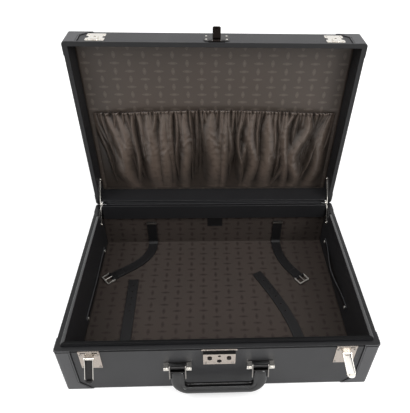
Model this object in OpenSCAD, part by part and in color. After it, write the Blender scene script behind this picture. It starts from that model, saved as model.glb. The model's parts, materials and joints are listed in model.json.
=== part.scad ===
// Hard travel case with its lid open: a leatherette covered base and lid on two corner
// hinges, a centre hasp lock, two lever latches, a swinging handle, fabric lining, a
// gathered pocket and packing straps. Millimetres, +X to the right, +Y to the back, +Z up.
// The origin is the middle of the base's underside. Lid pieces are drawn closed, then turned
// back about the hinge line.

/* [Case] */
// Width of the case along its front
case_w = 560; // [530:5:620]
// Depth of the case from front to back
case_d = 390; // [370:5:430]
// Height of the base with its floor
base_h = 122; // [118:1:150]
// Thickness of the base walls with their covering
wall_t = 10; // [9:0.5:12]
// Thickness of the floor and of the lid's top board
board_t = 5; // [4:0.5:5.5]
// Radius of the upright corner edges
corner_r = 7; // [5:0.5:8]
// Radius of the long edges at the floor and the top
edge_r = 3; // [2:0.5:4]

/* [Lid] */
// Height of the lid's walls with its top board
lid_h = 50; // [50:1:70]
// Angle at which the lid stands open
lid_open = 88; // [80:1:90]
// Gap between the two rims when the lid is shut
rim_gap = 0.6; // [0.4:0.1:1]

/* [Rim lip] */
// Thickness of the board frame inside the base walls
lip_t = 6; // [4:0.5:6]
// How far the frame's top edge stands above the rim
lip_rise = 6; // [4:0.5:8]
// How far the frame reaches down below the rim
lip_drop = 33; // [28:1:36]
// How far each side run of the frame stops short of the rear wall
lip_side_stop = 40; // [38:1:60]

/* [Corner patches] */
// Thickness of the leather patches
patch_t = 1; // [0.8:0.1:1.5]
// Width of a patch along its upright edge
patch_w = 28; // [22:1:36]
// Reach of the patch's slanted foot along the long edge
gusset_w = 50; // [44:1:54]
// Height of the slanted foot on the base
gusset_h = 24; // [18:1:34]
// Height of the slanted foot on the lid
lid_gusset_h = 20; // [14:1:28]
// How far the lid's patches cut across the corners of its top
gusset_cut = 10; // [6:1:20]

/* [Lining] */
// Thickness of the fabric lining
lining_t = 1.2; // [1:0.1:1.5]
// Width of the label patch
label_w = 36; // [24:1:50]
// Height of the label patch
label_h = 25; // [16:1:34]
// Distance from the frame down to the label patch
label_gap = 4; // [1:1:12]

/* [Pocket] */
// Distance from the lid's side walls to the pocket's ends
pocket_side = 10.8; // [6:0.2:30]
// Distance from the lid's front to the middle of the pocket's cloth edge
pocket_top = 163; // [130:1:180]
// How much the pocket's edge bows towards the front in its middle
pocket_bow = 11; // [0:1:16]
// Distance from the lid's rear to the pocket's lower seam
pocket_foot = 15; // [12:1:24]
// Thickness of the pocket's cloth
cloth_t = 1.4; // [1:0.1:2]
// How far the elastic edge stands off the lining
pocket_mouth = 10; // [8:0.5:12]
// How much further the pocket's middle swells
pocket_belly = 7; // [3:0.5:9]
// Depth of the main folds
fold_depth = 2.6; // [1:0.2:3]
// Number of main folds across the pocket
fold_count = 11; // [7:1:13]
// Height of the elastic hem
hem_h = 5; // [3:0.5:8]

/* [Lock] */
// Width of the lock cover
lock_w = 56; // [52:1:64]
// Height of the lock cover
lock_h = 36; // [34:1:38]
// Distance from the rim down to the cover's top
lock_drop = 3; // [2:0.5:4]
// How far the lock cover stands proud of the wall
lock_proud = 6; // [6:0.1:7]
// Thickness of the lock cover's sheet
lock_sheet_t = 1; // [0.8:0.1:1.1]
// Width of the mounting flange along the cover's top
lock_flange_w = 62; // [60:1:72]
// Distance from the middle to each button
button_x = 16.7; // [15.5:0.1:18]
// Distance from the rim down to the buttons' middle
button_drop = 20.5; // [20:0.1:21.5]
// Radius of a button's head
button_r = 4; // [3.5:0.1:4.4]
// How far a button is pressed
button_travel = 1.6; // [1.2:0.1:1.8]
// Radius of the keyed barrel
key_r = 4.2; // [3.5:0.1:4.4]
// Distance from the rim down to the barrel's middle
key_drop = 29.5; // [29:0.1:31]

/* [Hasp] */
// Width of the hasp's fixed plate
hasp_w = 48; // [44:1:60]
// Distance from the hasp's hinge to its plate's top
hasp_h = 31; // [26:1:36]
// Width of the hasp's flap
flap_w = 15; // [12:0.5:16]
// Length of the flap from its hinge
flap_l = 24.4; // [23.5:0.1:25]
// Distance from the flap's hinge to its staple
staple_l = 18.4; // [17.5:0.1:19]
// Radius of the staple
staple_r = 2.2; // [2:0.1:2.4]

/* [Latches] */
// Distance from the case's side to the middle of a latch
latch_in = 58; // [56:1:80]
// Width of a latch plate
latch_w = 36; // [32:1:38]
// Distance from the rim down to the latch plate's lower edge
latch_reach = 50; // [46:1:56]
// Width of the lever's pivot block
block_w = 12; // [10:0.5:13]
// Distance from the rim down to the lever's pivot
lever_drop = 15; // [14:0.5:17]
// Distance of the lever's pivot from the wall
lever_out = 5.6; // [5.4:0.1:6.2]
// Length of a lever from its pivot to its tip
lever_l = 42; // [41:0.5:46]
// Angle of the left lever from hanging straight down
left_lever_angle = 40; // [20:1:90]
// Angle of the right lever from hanging straight down
right_lever_angle = 84; // [20:1:90]
// Width of a lid catch
catch_w = 35; // [32:1:38]
// Height of a lid catch
catch_h = 34; // [30:1:36]
// Width of the raised bridge on a lid catch
bridge_w = 12; // [9:0.5:12]
// How far the bridge stands proud of the lid
bridge_proud = 4; // [3.4:0.1:4.2]

/* [Handle] */
// Distance from the middle to each handle mount
mount_x = 73; // [68:1:80]
// Distance from the rim down to the handle's pivot
handle_drop = 44; // [40:1:50]
// Distance of the handle's pivot from the wall
handle_out = 8; // [7:0.5:10]
// Distance between the two feet of a mount
mount_span = 40; // [40:1:46]
// Radius of a mount's rod
rod_r = 2.2; // [1.8:0.1:2.6]
// Drop from the pivot to the middle of the grip
grip_drop = 50; // [44:1:54]
// Angle of the resting handle from straight down
handle_rest = 15; // [12:1:30]
// Half the height of the grip in its middle
grip_half_h = 9.8; // [8:0.1:12]
// Half the thickness of the grip in its middle
grip_half_t = 8.6; // [7:0.1:10]
// Half the width of the grip's ends
end_half_w = 13; // [10:0.5:13]
// Half the thickness of the grip's ends
end_half_t = 6; // [4:0.5:7]
// Radius of the bend between an end and the grip
grip_bend = 19; // [16:1:22]

/* [Corner hinges] */
// Thickness of the hinge leaves
leaf_t = 1.6; // [1.2:0.1:1.8]
// Width of the hinge leaves
leaf_w = 8; // [6:0.5:9]
// Radius of the hinge leaves' eyes
eye_r = 4.5; // [4.2:0.1:4.8]
// Radius of the hinge pins
hinge_pin_r = 2; // [1.6:0.1:2.2]

/* [Straps] */
// Width of the packing straps
strap_w = 22; // [16:1:24]
// Thickness of the straps
strap_t = 2.2; // [1.8:0.1:2.6]
// Distance from the middle to each rear strap
rear_strap_x = 154; // [140:1:170]
// Distance from the left wall to the left rear strap's end
left_end_in = 31; // [31:1:60]
// Distance from the right wall to the right rear strap's end
right_end_in = 75; // [50:1:90]
// Distance from the left wall to the left front strap
left_front_in = 84; // [60:1:100]
// Distance from the right wall to the right front strap
right_front_in = 98; // [80:1:110]
// Distance behind the middle at which each rear strap starts its turn
left_rear_turn_y = 118; // [105:1:130]
right_rear_turn_y = 120; // [105:1:130]
// Distance behind the middle of each rear strap's end
left_end_y = 68; // [50:1:80]
right_end_y = 61; // [50:1:80]
// Distances, sideways and back from its end, at which each rear strap heads for its end
left_aim_x = 35; // [20:1:45]
left_aim_y = 30; // [20:1:40]
right_aim_x = 23; // [15:1:35]
right_aim_y = 37; // [25:1:45]
// Distance in front of the middle at which each front strap starts its turn
left_front_turn_y = 96; // [80:1:110]
right_front_turn_y = 90; // [80:1:110]
// Distance in front of the middle at which each front strap heads for its end
left_front_aim_y = 20; // [10:1:50]
right_front_aim_y = 44; // [20:1:60]
// Distance behind the middle of each front strap's end
left_front_end_y = 60; // [40:1:80]
right_front_end_y = 76; // [60:1:80]
// Distance sideways of each front strap at that heading
left_front_aim_x = 1; // [0:1:6]
right_front_aim_x = 11; // [6:1:20]
// Distance sideways of each front strap's end
left_front_lean = 2; // [0:1:10]
right_front_lean = 76; // [50:1:84]
// Height of the straps' upper ends
strap_top = 75; // [60:1:80]
// Radius of a strap's bend between wall and floor
strap_bend = 10; // [6:1:14]
// Width of the side straps
side_strap_w = 12; // [8:1:16]
// Height of the left side strap
left_side_z = 22; // [20:1:60]
// Height of the right side strap
right_side_z = 44; // [20:1:60]
// How far the right side strap bows from its wall
side_bow = 9; // [2:1:12]
// Length of a buckle along its strap
buckle_l = 20; // [17:1:24]
// Width of a buckle's bars
bar_w = 2.6; // [2.4:0.1:3.2]

/* [Hidden] */

// Radial clearance of pins and shafts
fit = 0.06;
// Gap between neighbours that move past each other
gap = 0.4;
// How far a cutting shape passes through a face
past = 1;
// Clearance between the lid's walls and the base's board frame
lip_clear = 0.8;
// Play of the straps and the hinge leaves off the lining
lie = 0.2;
$fn = 48;

leather = "#26262a";
strap_leather = "#161618";
fabric = "#4a423d";
nickel = "#c9c6c2";
dull_metal = "#8d8a86";

front_y = -case_d / 2;
rear_y = case_d / 2;
lid_z = base_h + rim_gap;
top_z = base_h + lid_h;
lid_wall_t = wall_t - lip_clear;
half_in = case_w / 2 - wall_t;
lid_half_in = case_w / 2 - lid_wall_t;
floor_z = board_t + lining_t;
lining_front_y = front_y + wall_t + lining_t;
lining_rear_y = rear_y - wall_t - lining_t;
latch_x = case_w / 2 - latch_in;
lever_z = base_h - lever_drop;
handle_z = base_h - handle_drop;

// Sizes that the rivets share
rivet_r = 1;
rivet_l = 5;
rivet_head_r = 2;
rivet_head_h = 0.9;

// Turns what is drawn closed back about the hinge line at the top of the rear wall
module opened() {
    translate([0, rear_y, base_h]) rotate([-lid_open, 0, 0]) translate([0, -rear_y, -base_h])
        children();
}

// Stands a plan drawn in X and Z upright and thickens it along Y from y0 to y1
module upright(y0, y1) {
    translate([0, y1, 0]) rotate([90, 0, 0]) linear_extrude(y1 - y0) children();
}

// Stands a plan drawn in Y and Z upright and thickens it along X from x0 to x1
module sideways(x0, x1) {
    translate([x0, 0, 0]) rotate([90, 0, 90]) linear_extrude(x1 - x0) children();
}

// Round bars along Y from y0 to y1 at each spot [x, z]
module bars_y(spots, r, y0, y1) {
    for (s = spots) translate([s[0], y1, s[1]]) rotate([90, 0, 0]) cylinder(r = r, h = y1 - y0);
}

// One round bar along X from x0 to x1 at [y, z]
module bar_x(spot, r, x0, x1) {
    translate([x0, spot[0], spot[1]]) rotate([0, 90, 0]) cylinder(r = r, h = x1 - x0);
}

// A rectangle about the origin with round corners
module round_rect(w, h, r) {
    union() {
        square([w - 2 * r, h], center = true);
        square([w, h - 2 * r], center = true);
        for (sx = [-1, 1], sy = [-1, 1]) {
            translate([sx * (w / 2 - r), sy * (h / 2 - r)]) circle(r = r);
        }
    }
}

// A flat strip of width w along a list of points, mitred where it turns
function heading(p, i) = (p[i + 1] - p[i]) / norm(p[i + 1] - p[i]);
function mitred(p, i, d) = let (a = heading(p, max(i - 1, 0)), b = heading(p, min(i, len(p) - 2)),
    m = (a + b) / norm(a + b)) p[i] + d * [-m[1], m[0]] / (m * a);
module strip(p, w) {
    last = len(p) - 1;
    polygon(concat([for (i = [0 : last]) mitred(p, i, -w / 2)],
        [for (i = [last : -1 : 0]) mitred(p, i, w / 2)]));
}

// Rivets in the front wall: a low head on a face at y, and a shank into the wall behind it
module front_rivets(spots, y) {
    bars_y(spots, rivet_r, y, front_y + rivet_l);
    bars_y(spots, rivet_head_r, y - rivet_head_h, y);
}

module front_rivet_holes(spots, y) {
    bars_y(spots, rivet_r + fit, y, front_y + rivet_l + fit);
}

// End view of a case half whose long edges at height 0 are rounded
module rounded_foot(w, h) {
    union() {
        translate([-w / 2, edge_r]) square([w, h - edge_r]);
        translate([-w / 2 + edge_r, 0]) square([w - 2 * edge_r, h]);
        for (s = [-1, 1]) translate([s * (w / 2 - edge_r), edge_r]) circle(r = edge_r);
    }
}

// A block with round upright edges and a rounded foot, grown outwards by grow
module case_block(h, grow = 0) {
    w = case_w + 2 * grow;
    d = case_d + 2 * grow;
    intersection() {
        translate([0, 0, -grow]) linear_extrude(h + grow) round_rect(w, d, corner_r);
        translate([0, 0, -grow]) upright(-case_d, case_d) rounded_foot(w, h + grow + past);
        translate([0, 0, -grow]) sideways(-case_w, case_w) rounded_foot(d, h + grow + past);
    }
}

// Puts a case half that was drawn foot down into the lid's place
module as_lid() {
    translate([0, 0, top_z]) mirror([0, 0, 1]) children();
}

// Corner hinges: a gooseneck leaf on each case half and a pin through both eyes

leaf_gap = 0.6;
leaf_foot_r = 6;
pin_head_t = 1;
pin_head_r = 3.2;
hinge_axis = [rear_y, base_h];
lid_leaf_out = lid_half_in;
base_leaf_out = min(lid_leaf_out - leaf_t - leaf_gap, half_in - lining_t - lie);
base_leaf_in = base_leaf_out - leaf_t;
// How far the leaves' necks and feet lie in front of the hinge line, and below or above it
base_neck_at = [13, 4];
base_foot_at = [31, 36];
lid_neck_at = [14, 6];
lid_foot_at = [46, 36];
base_neck = hinge_axis - base_neck_at;
base_foot = hinge_axis - base_foot_at;
lid_neck = hinge_axis + [-lid_neck_at[0], lid_neck_at[1]];
lid_foot = hinge_axis + [-lid_foot_at[0], lid_foot_at[1]];

// Room for the hinge eyes and necks in both rear walls
module hinge_notches() {
    notch_z = 9.2;
    x0 = base_leaf_in - lie - pin_head_t - gap;
    x1 = lid_leaf_out + past;
    for (s = [-1, 1]) scale([s, 1, 1]) {
        bar_x(hinge_axis, eye_r + gap, x0, x1);
        translate([x0, rear_y - wall_t - past, base_h - notch_z])
            cube([x1 - x0, wall_t + patch_t + 2 * past, 2 * notch_z]);
    }
}

module base_leaf(s) {
    color(nickel) scale([s, 1, 1]) difference() {
        union() {
            sideways(base_leaf_in, base_leaf_out) union() {
                translate(hinge_axis) circle(r = eye_r);
                strip([hinge_axis, base_neck, base_foot], leaf_w);
                translate(base_foot) circle(r = leaf_foot_r);
            }
            bar_x(base_foot, leaf_foot_r, base_leaf_in + leaf_t / 2, half_in);
        }
        bar_x(hinge_axis, hinge_pin_r + fit, 0, case_w);
        bar_x(base_foot, rivet_r + fit, 0, case_w);
    }
}

module base_hinge_leaf_left() {
    base_leaf(-1);
}

module base_hinge_leaf_right() {
    base_leaf(1);
}

module lid_leaf(s) {
    color(nickel) opened() scale([s, 1, 1]) difference() {
        sideways(lid_leaf_out - leaf_t, lid_leaf_out) union() {
            translate(hinge_axis) circle(r = eye_r);
            strip([hinge_axis, lid_neck, lid_foot], leaf_w);
            translate(lid_foot) circle(r = leaf_foot_r);
        }
        bar_x(hinge_axis, hinge_pin_r + fit, 0, case_w);
        bar_x(lid_foot, rivet_r + fit, 0, case_w);
    }
}

module lid_hinge_leaf_left() {
    lid_leaf(-1);
}

module lid_hinge_leaf_right() {
    lid_leaf(1);
}

module hinge_pins() {
    head_x = base_leaf_in - lie;
    color(nickel) for (s = [-1, 1]) scale([s, 1, 1]) {
        bar_x(hinge_axis, hinge_pin_r, head_x - pin_head_t, lid_leaf_out + gap);
        bar_x(hinge_axis, pin_head_r, head_x - pin_head_t, head_x);
    }
}

// A rivet through a leaf's foot into the side wall behind it
module foot_rivet(spot, leaf_in, wall_x) {
    bar_x(spot, rivet_r, leaf_in, wall_x + rivet_l);
    bar_x(spot, rivet_head_r, leaf_in - rivet_head_h, leaf_in);
}

module base_leaf_rivets() {
    color(nickel) for (s = [-1, 1]) scale([s, 1, 1]) foot_rivet(base_foot, base_leaf_in, half_in);
}

// Case boards and linings

module base_shell() {
    color(leather) difference() {
        case_block(base_h);
        translate([-half_in, front_y + wall_t, board_t]) cube([2 * half_in, case_d - 2 * wall_t, base_h]);
        hinge_notches();
        bars_y(screw_spots, screw_r + fit, front_y - past, front_y + screw_l + fit);
        front_rivet_holes(concat(latch_spots, lock_spots), front_y - past);
        for (s = [-1, 1]) scale([s, 1, 1]) {
            bar_x(base_foot, rivet_r + fit, half_in - past, half_in + rivet_l + fit);
            for (y = side_spots_y) bar_x([y, side_z(s)], rivet_r + fit, half_in - past, half_in + rivet_l);
        }
    }
}

// Board frame inside the walls, whose top edge stands above the rim. Its side runs stop
// short of the hinge leaves and its rear run lies between them.
module base_valance() {
    tall = lip_rise + lip_drop;
    run_y = front_y + wall_t;
    run_l = case_d - 2 * wall_t;
    inner = half_in - lip_t;
    color(leather) translate([0, 0, base_h - lip_drop]) union() {
        translate([-half_in, run_y, 0]) cube([2 * half_in, lip_t, tall]);
        for (x = [-half_in, inner]) translate([x, run_y, 0]) cube([lip_t, run_l - lip_side_stop, tall]);
        translate([-inner, run_y + run_l - lip_t, 0]) cube([2 * inner, lip_t, tall]);
    }
}

// Fabric on the floor and on the front and rear walls, up to the board frame
module base_lining() {
    wall_top = base_h - lip_drop - board_t;
    color(fabric) translate([-half_in, 0, board_t]) union() {
        translate([0, front_y + wall_t, 0]) cube([2 * half_in, case_d - 2 * wall_t, lining_t]);
        for (y = [front_y + wall_t, lining_rear_y]) {
            translate([0, y, 0]) cube([2 * half_in, lining_t, wall_top]);
        }
    }
}

// Black boards on the side walls, up to the board frame
module side_liners() {
    color(strap_leather) for (s = [-1, 1]) scale([s, 1, 1]) difference() {
        translate([half_in - lining_t, lining_front_y, floor_z])
            cube([lining_t, lining_rear_y - lining_front_y, base_h - lip_drop - floor_z]);
        bar_x(base_foot, leaf_foot_r + lie, 0, case_w);
        for (y = side_spots_y) bar_x([y, side_z(s)], rivet_r + fit, 0, case_w);
    }
}

module label_patch() {
    label_t = 0.8;
    low = base_h - lip_drop - label_gap - label_h;
    color(leather) translate([-label_w / 2, lining_rear_y - label_t, low]) cube([label_w, label_t, label_h]);
}

module lid_shell() {
    color(leather) opened() difference() {
        as_lid() case_block(lid_h - rim_gap);
        translate([-lid_half_in, front_y + lid_wall_t, lid_z - past])
            cube([2 * lid_half_in, case_d - 2 * lid_wall_t, lid_h - rim_gap - board_t + past]);
        hinge_notches();
        front_rivet_holes(concat(catch_spots, hasp_spots), front_y - past);
        for (s = [-1, 1]) scale([s, 1, 1])
            bar_x(lid_foot, rivet_r + fit, lid_half_in - past, lid_half_in + rivet_l + fit);
    }
}

panel_z = top_z - board_t - lining_t;
module lid_lining() {
    color(fabric) opened() translate([-lid_half_in, front_y + lid_wall_t, panel_z])
        cube([2 * lid_half_in, case_d - 2 * lid_wall_t, lining_t]);
}

// Leatherette strips over the rear joint, one glued to each half

hinge_strip_t = 0.8;
hinge_strip_h = 28;
hinge_strip_half = case_w / 2 - patch_w - past;
module base_hinge_strip() {
    color(leather) translate([-hinge_strip_half, rear_y, base_h - gap - hinge_strip_h])
        cube([2 * hinge_strip_half, hinge_strip_t, hinge_strip_h]);
}

module lid_hinge_strip() {
    color(leather) opened() translate([-hinge_strip_half, rear_y, lid_z + 2 * hinge_strip_t])
        cube([2 * hinge_strip_half, hinge_strip_t, hinge_strip_h]);
}

// Corner patches

// Face plan of a patch: a strip up the edge at x = 0 and a slanted foot, reaching to -x
module patch_plan(h, foot_h) {
    polygon([[0, -past], [-gusset_w, -past], [-gusset_w, 0], [-patch_w, foot_h], [-patch_w, h], [0, h]]);
}

// Plan of a patch on the board at the foot, cut across the corner
module patch_sole(x, y) {
    polygon([[x, y], [x, y - gusset_w], [x - gusset_cut, y - gusset_w], [x - gusset_w, y - gusset_cut],
        [x - gusset_w, y]]);
}

// The two patches at one end of a case half; sole says whether they also wrap the board
module patch_pair(h, foot_h, side, sole) {
    depth = corner_r + past;
    x = case_w / 2 + past;
    y = case_d / 2 + past;
    difference() {
        intersection() {
            case_block(h, patch_t);
            for (sx = [-1, 1]) scale([sx, side, 1]) union() {
                upright(y - depth, y + past) translate([x, 0]) patch_plan(h, foot_h);
                sideways(x - depth, x + past) translate([y, 0]) patch_plan(h, foot_h);
                translate([0, 0, -patch_t - past]) linear_extrude(patch_t + past + edge_r) patch_sole(x, y);
            }
        }
        case_block(h + past);
        if (!sole) translate([0, 0, -2 * past]) cube([2 * case_w, 2 * case_d, 4 * past], center = true);
    }
}

module base_corners_front() {
    color(leather) patch_pair(base_h, gusset_h, -1, false);
}

module base_corners_rear() {
    color(leather) difference() {
        patch_pair(base_h, gusset_h, 1, false);
        hinge_notches();
        translate([-case_w, rear_y, base_h - 2 * patch_t]) cube([2 * case_w, 2 * patch_t, 3 * patch_t]);
    }
}

module lid_corners_front() {
    color(leather) opened() as_lid() patch_pair(lid_h - rim_gap, lid_gusset_h, -1, true);
}

module lid_corners_rear() {
    color(leather) opened() difference() {
        as_lid() patch_pair(lid_h - rim_gap, lid_gusset_h, 1, true);
        hinge_notches();
    }
}

// Hasp: a plate on the lid, and a stepped flap with a staple that swings down over the lock

hasp_out = 2.6;
hasp_z = lid_z + 3;
hasp_knuckle_r = 2.2;
hasp_pin_r = 1.1;
hasp_sheet_t = 1.2;
hasp_pivot = [front_y - hasp_out, hasp_z];
knuckle_w = flap_w / 2;
knuckle_x = flap_w / 2 + 0.3;
hasp_spots = [for (dx = [-1, 1], z = [hasp_z + 9, hasp_z + hasp_h - 6]) [dx * (hasp_w / 2 - 5), z]];

module hasp_plate() {
    plate_lift = 2.4;
    web_h = 4;
    color(nickel) opened() difference() {
        union() {
            upright(front_y - hasp_sheet_t, front_y) translate([0, hasp_z + (plate_lift + hasp_h) / 2])
                round_rect(hasp_w, hasp_h - plate_lift, 6);
            for (s = [-1, 1]) scale([s, 1, 1]) {
                bar_x(hasp_pivot, hasp_knuckle_r, knuckle_x, knuckle_x + knuckle_w);
                translate([knuckle_x, front_y - hasp_out, hasp_z]) cube([knuckle_w, hasp_out, web_h]);
            }
        }
        bar_x(hasp_pivot, hasp_pin_r + fit, -hasp_w, hasp_w);
        bars_y(hasp_spots, rivet_r + fit, front_y - 2 * hasp_sheet_t, front_y + past);
    }
}

module hasp_pin() {
    reach = knuckle_x + knuckle_w;
    color(nickel) opened() bar_x(hasp_pivot, hasp_pin_r, -reach, reach);
}

// The neck of the staple, which the lock's catches hold
neck_r = 1.3;
// Thickness of the lock's back plate, and how far behind the cover's foot the catches lie
back_t = 0.8;
catch_back = back_t + gap;

// The flap hanging down over the lock, its hinge at the origin
module flap_shape() {
    flap_t = 1.4;
    tip_r = 3;
    inner_y = hasp_out - lock_proud - gap;
    hang = flap_l - tip_r;
    difference() {
        union() {
            bar_x([0, 0], hasp_knuckle_r, -flap_w / 2, flap_w / 2);
            translate([-flap_w / 2, inner_y - flap_t, -flap_t]) cube([flap_w, flap_t - inner_y, flap_t]);
            upright(inner_y - flap_t, inner_y) union() {
                translate([-flap_w / 2, -hang]) square([flap_w, hang]);
                translate([-flap_w / 2 + tip_r, -flap_l]) square([flap_w - 2 * tip_r, flap_l]);
                for (s = [-1, 1]) translate([s * (flap_w / 2 - tip_r), -hang]) circle(r = tip_r);
            }
            bars_y([[0, -staple_l]], staple_r, inner_y - flap_t / 2, inner_y + gap + lock_sheet_t);
            bars_y([[0, -staple_l]], neck_r, inner_y, hasp_out - back_t);
            bars_y([[0, -staple_l]], staple_r, hasp_out - catch_back + fit, hasp_out - gap);
        }
        bar_x([0, 0], hasp_pin_r + fit, -flap_w, flap_w);
    }
}

module hasp_flap() {
    color(dull_metal) opened() translate([0, hasp_pivot[0], hasp_pivot[1]]) rotate([-90, 0, 0]) flap_shape();
}

// Lock: a pressed cover with two buttons, a keyed barrel and a hole for the staple

lock_top = base_h - lock_drop;
lock_low = lock_top - lock_h;
cover_y = front_y - lock_proud;
staple_z = hasp_z - staple_l;
button_z = base_h - button_drop;
key_z = base_h - key_drop;
stem_r = 1.8;
catch_t = 1.4;
lock_rivet_in = 4.5;
lock_spots = [for (s = [-1, 1]) [s * (lock_w / 2 - lock_rivet_in), lock_low + lock_rivet_in]];
button_spots = [[-button_x, button_z], [button_x, button_z]];

// Side view of the cover in Y and Z with its slanted top, shrunk by t, run into the wall by ext
module cover_plan(t, ext) {
    slant = lock_top - t * sqrt(2);
    polygon([[front_y + ext, lock_low + t], [cover_y + t, lock_low + t],
        [cover_y + t, slant - lock_proud + t], [front_y + ext, slant + ext]]);
}

module lock_cover() {
    flange_t = 2;
    inner = lock_w / 2 - lock_sheet_t;
    color(nickel) difference() {
        union() {
            sideways(-lock_w / 2, lock_w / 2) cover_plan(0, 0);
            translate([-lock_flange_w / 2, front_y - flange_t, lock_top - flange_t / 2])
                cube([lock_flange_w, flange_t, flange_t]);
        }
        sideways(-inner, inner) cover_plan(lock_sheet_t, past);
        bars_y(button_spots, button_r + fit, cover_y - past, front_y);
        bars_y([[0, key_z]], key_r + fit, cover_y - past, front_y);
        bars_y([[0, staple_z]], staple_r + gap, cover_y - past, front_y);
        bars_y(lock_spots, rivet_r + fit, cover_y - past, front_y + past);
    }
}

module lock_back_plate() {
    inner = lock_w / 2 - lock_sheet_t - fit;
    low = lock_low + lock_sheet_t + fit;
    high = lock_top - lock_sheet_t * sqrt(2) - back_t - fit;
    color(dull_metal) difference() {
        translate([-inner, front_y - back_t, low]) cube([2 * inner, back_t, high - low]);
        bars_y([[0, staple_z]], staple_r + gap, front_y - 2 * back_t, front_y + past);
        bars_y(lock_spots, rivet_r + fit, front_y - 2 * back_t, front_y + past);
    }
}

module lock_rivets() {
    color(nickel) front_rivets(lock_spots, cover_y);
}

// A push button: a head in the cover, and a stem that enters its catch when pressed
module lock_button(s) {
    head_y = cover_y - button_travel;
    head_end = front_y - catch_back - catch_t - gap - button_travel;
    stem_end = front_y - back_t - gap - button_travel;
    color(dull_metal) union() {
        bars_y([[s * button_x, button_z]], button_r, head_y, head_end);
        bars_y([[s * button_x, button_z]], stem_r, head_end - past, stem_end);
    }
}

module lock_button_left() {
    lock_button(-1);
}

module lock_button_right() {
    lock_button(1);
}

// A catch that a button pushes outwards, off the neck of the staple: a tongue at the
// staple's height and a pad with a window for the button's stem
module lock_catch(s) {
    tongue = 2.5;
    rim = 1.6;
    win = stem_r + gap;
    win_in = button_x - win - button_travel;
    tail = button_x + stem_r + 4;
    tip = neck_r + 0.3;
    face = front_y - catch_back;
    color(dull_metal) scale([s, 1, 1]) upright(face - catch_t, face) difference() {
        union() {
            translate([tip, staple_z - tongue]) square([tail - tip, 2 * tongue]);
            translate([win_in - rim, button_z - win - rim])
                square([tail - win_in + rim, staple_z - button_z + win + rim]);
        }
        translate([win_in, button_z - win]) square([2 * win + button_travel, 2 * win]);
    }
}

module lock_catch_left() {
    lock_catch(-1);
}

module lock_catch_right() {
    lock_catch(1);
}

// The keyed barrel with a slot for the key
module key_cylinder() {
    out = 0.6;
    slot_w = 1.2;
    slot_h = 5;
    slot_deep = 3;
    color(dull_metal) difference() {
        bars_y([[0, key_z]], key_r, cover_y - out, front_y - back_t - gap);
        translate([-slot_w / 2, cover_y - out - past, key_z - slot_h / 2])
            cube([slot_w, past + slot_deep, slot_h]);
    }
}

// Latches: a plate with a pivot block, a channel lever and a pin

latch_sheet_t = 1.2;
latch_pin_r = 1.3;
knuckle_r = 2.4;
cheek_t = 1.2;
cheek_gap = 0.3;
lever_half_w = block_w / 2 + cheek_gap + cheek_t;
lever_pivot = [front_y - lever_out, lever_z];
latch_top = base_h - past;
latch_low = base_h - latch_reach;
latch_edge = 3.4;
latch_spots = [for (s = [-1, 1], dx = [-1, 1], z = [latch_low + latch_edge, latch_top - 3 * latch_edge])
    [s * latch_x + dx * (latch_w / 2 - latch_edge), z]];

module latch_plate(s) {
    lip = 2.4;
    x = s * latch_x;
    color(nickel) difference() {
        union() {
            translate([x - latch_w / 2, front_y - latch_sheet_t, latch_low])
                cube([latch_w, latch_sheet_t, latch_top - latch_low]);
            translate([x - latch_w / 2, front_y - lip, latch_top - latch_sheet_t])
                cube([latch_w, lip, latch_sheet_t]);
            bar_x(lever_pivot, knuckle_r, x - block_w / 2, x + block_w / 2);
            translate([x - block_w / 2, front_y - lever_out, lever_z - knuckle_r])
                cube([block_w, lever_out, 2 * knuckle_r]);
        }
        bar_x(lever_pivot, latch_pin_r + fit, x - block_w, x + block_w);
        bars_y(latch_spots, rivet_r + fit, front_y - 2 * latch_sheet_t, front_y + past);
    }
}

module latch_plate_left() {
    latch_plate(-1);
}

module latch_plate_right() {
    latch_plate(1);
}

module latch_rivets() {
    color(nickel) front_rivets(latch_spots, front_y - latch_sheet_t);
}

module latch_pins() {
    head_r = 2.1;
    head_t = 0.8;
    reach = lever_half_w + cheek_gap;
    color(nickel) for (s = [-1, 1]) translate([s * latch_x, 0, 0]) {
        bar_x(lever_pivot, latch_pin_r, -reach - head_t, reach + head_t);
        bar_x(lever_pivot, head_r, -reach - head_t, -reach);
        bar_x(lever_pivot, head_r, reach, reach + head_t);
    }
}

// A channel lever standing straight up from its pivot at the origin, its back towards -y:
// two cheeks with eyes, a back plate with a round tip and a claw that holds the catch
module lever_shape() {
    eye = 3.2;
    back = knuckle_r + gap;
    claw_t = 1.6;
    claw_w = block_w - 4;
    claw_l = bridge_foot + bridge_h - lever_z + gap;
    claw_grip = 1;
    body_l = lever_l - lever_half_w;
    cheek = [[-back - cheek_t / 2, 0], [eye, 0], [0.5, 10], [-0.8, body_l], [-back - cheek_t / 2, body_l]];
    difference() {
        union() {
            for (s = [-1, 1]) scale([s, 1, 1]) sideways(lever_half_w - cheek_t, lever_half_w) union() {
                circle(r = eye);
                polygon(cheek);
            }
            upright(-back - cheek_t, -back) union() {
                translate([-lever_half_w, eye]) square([2 * lever_half_w, body_l - eye]);
                translate([0, body_l]) circle(r = lever_half_w);
            }
            translate([-claw_w / 2, -back - cheek_t / 2, claw_l])
                cube([claw_w, back + cheek_t / 2 + lever_out - bridge_proud + claw_grip, claw_t]);
        }
        bar_x([0, 0], latch_pin_r + fit, -block_w, block_w);
    }
}

// Turns the upright lever out and down to its resting angle
module latch_lever(s, angle) {
    color(nickel) translate([s * latch_x, lever_pivot[0], lever_pivot[1]])
        rotate([180 - angle, 0, 0]) lever_shape();
}

module latch_lever_left() {
    latch_lever(-1, left_lever_angle);
}

module latch_lever_right() {
    latch_lever(1, right_lever_angle);
}

// Lid catches: a waisted plate with a raised bridge that the lever's claw holds

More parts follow.
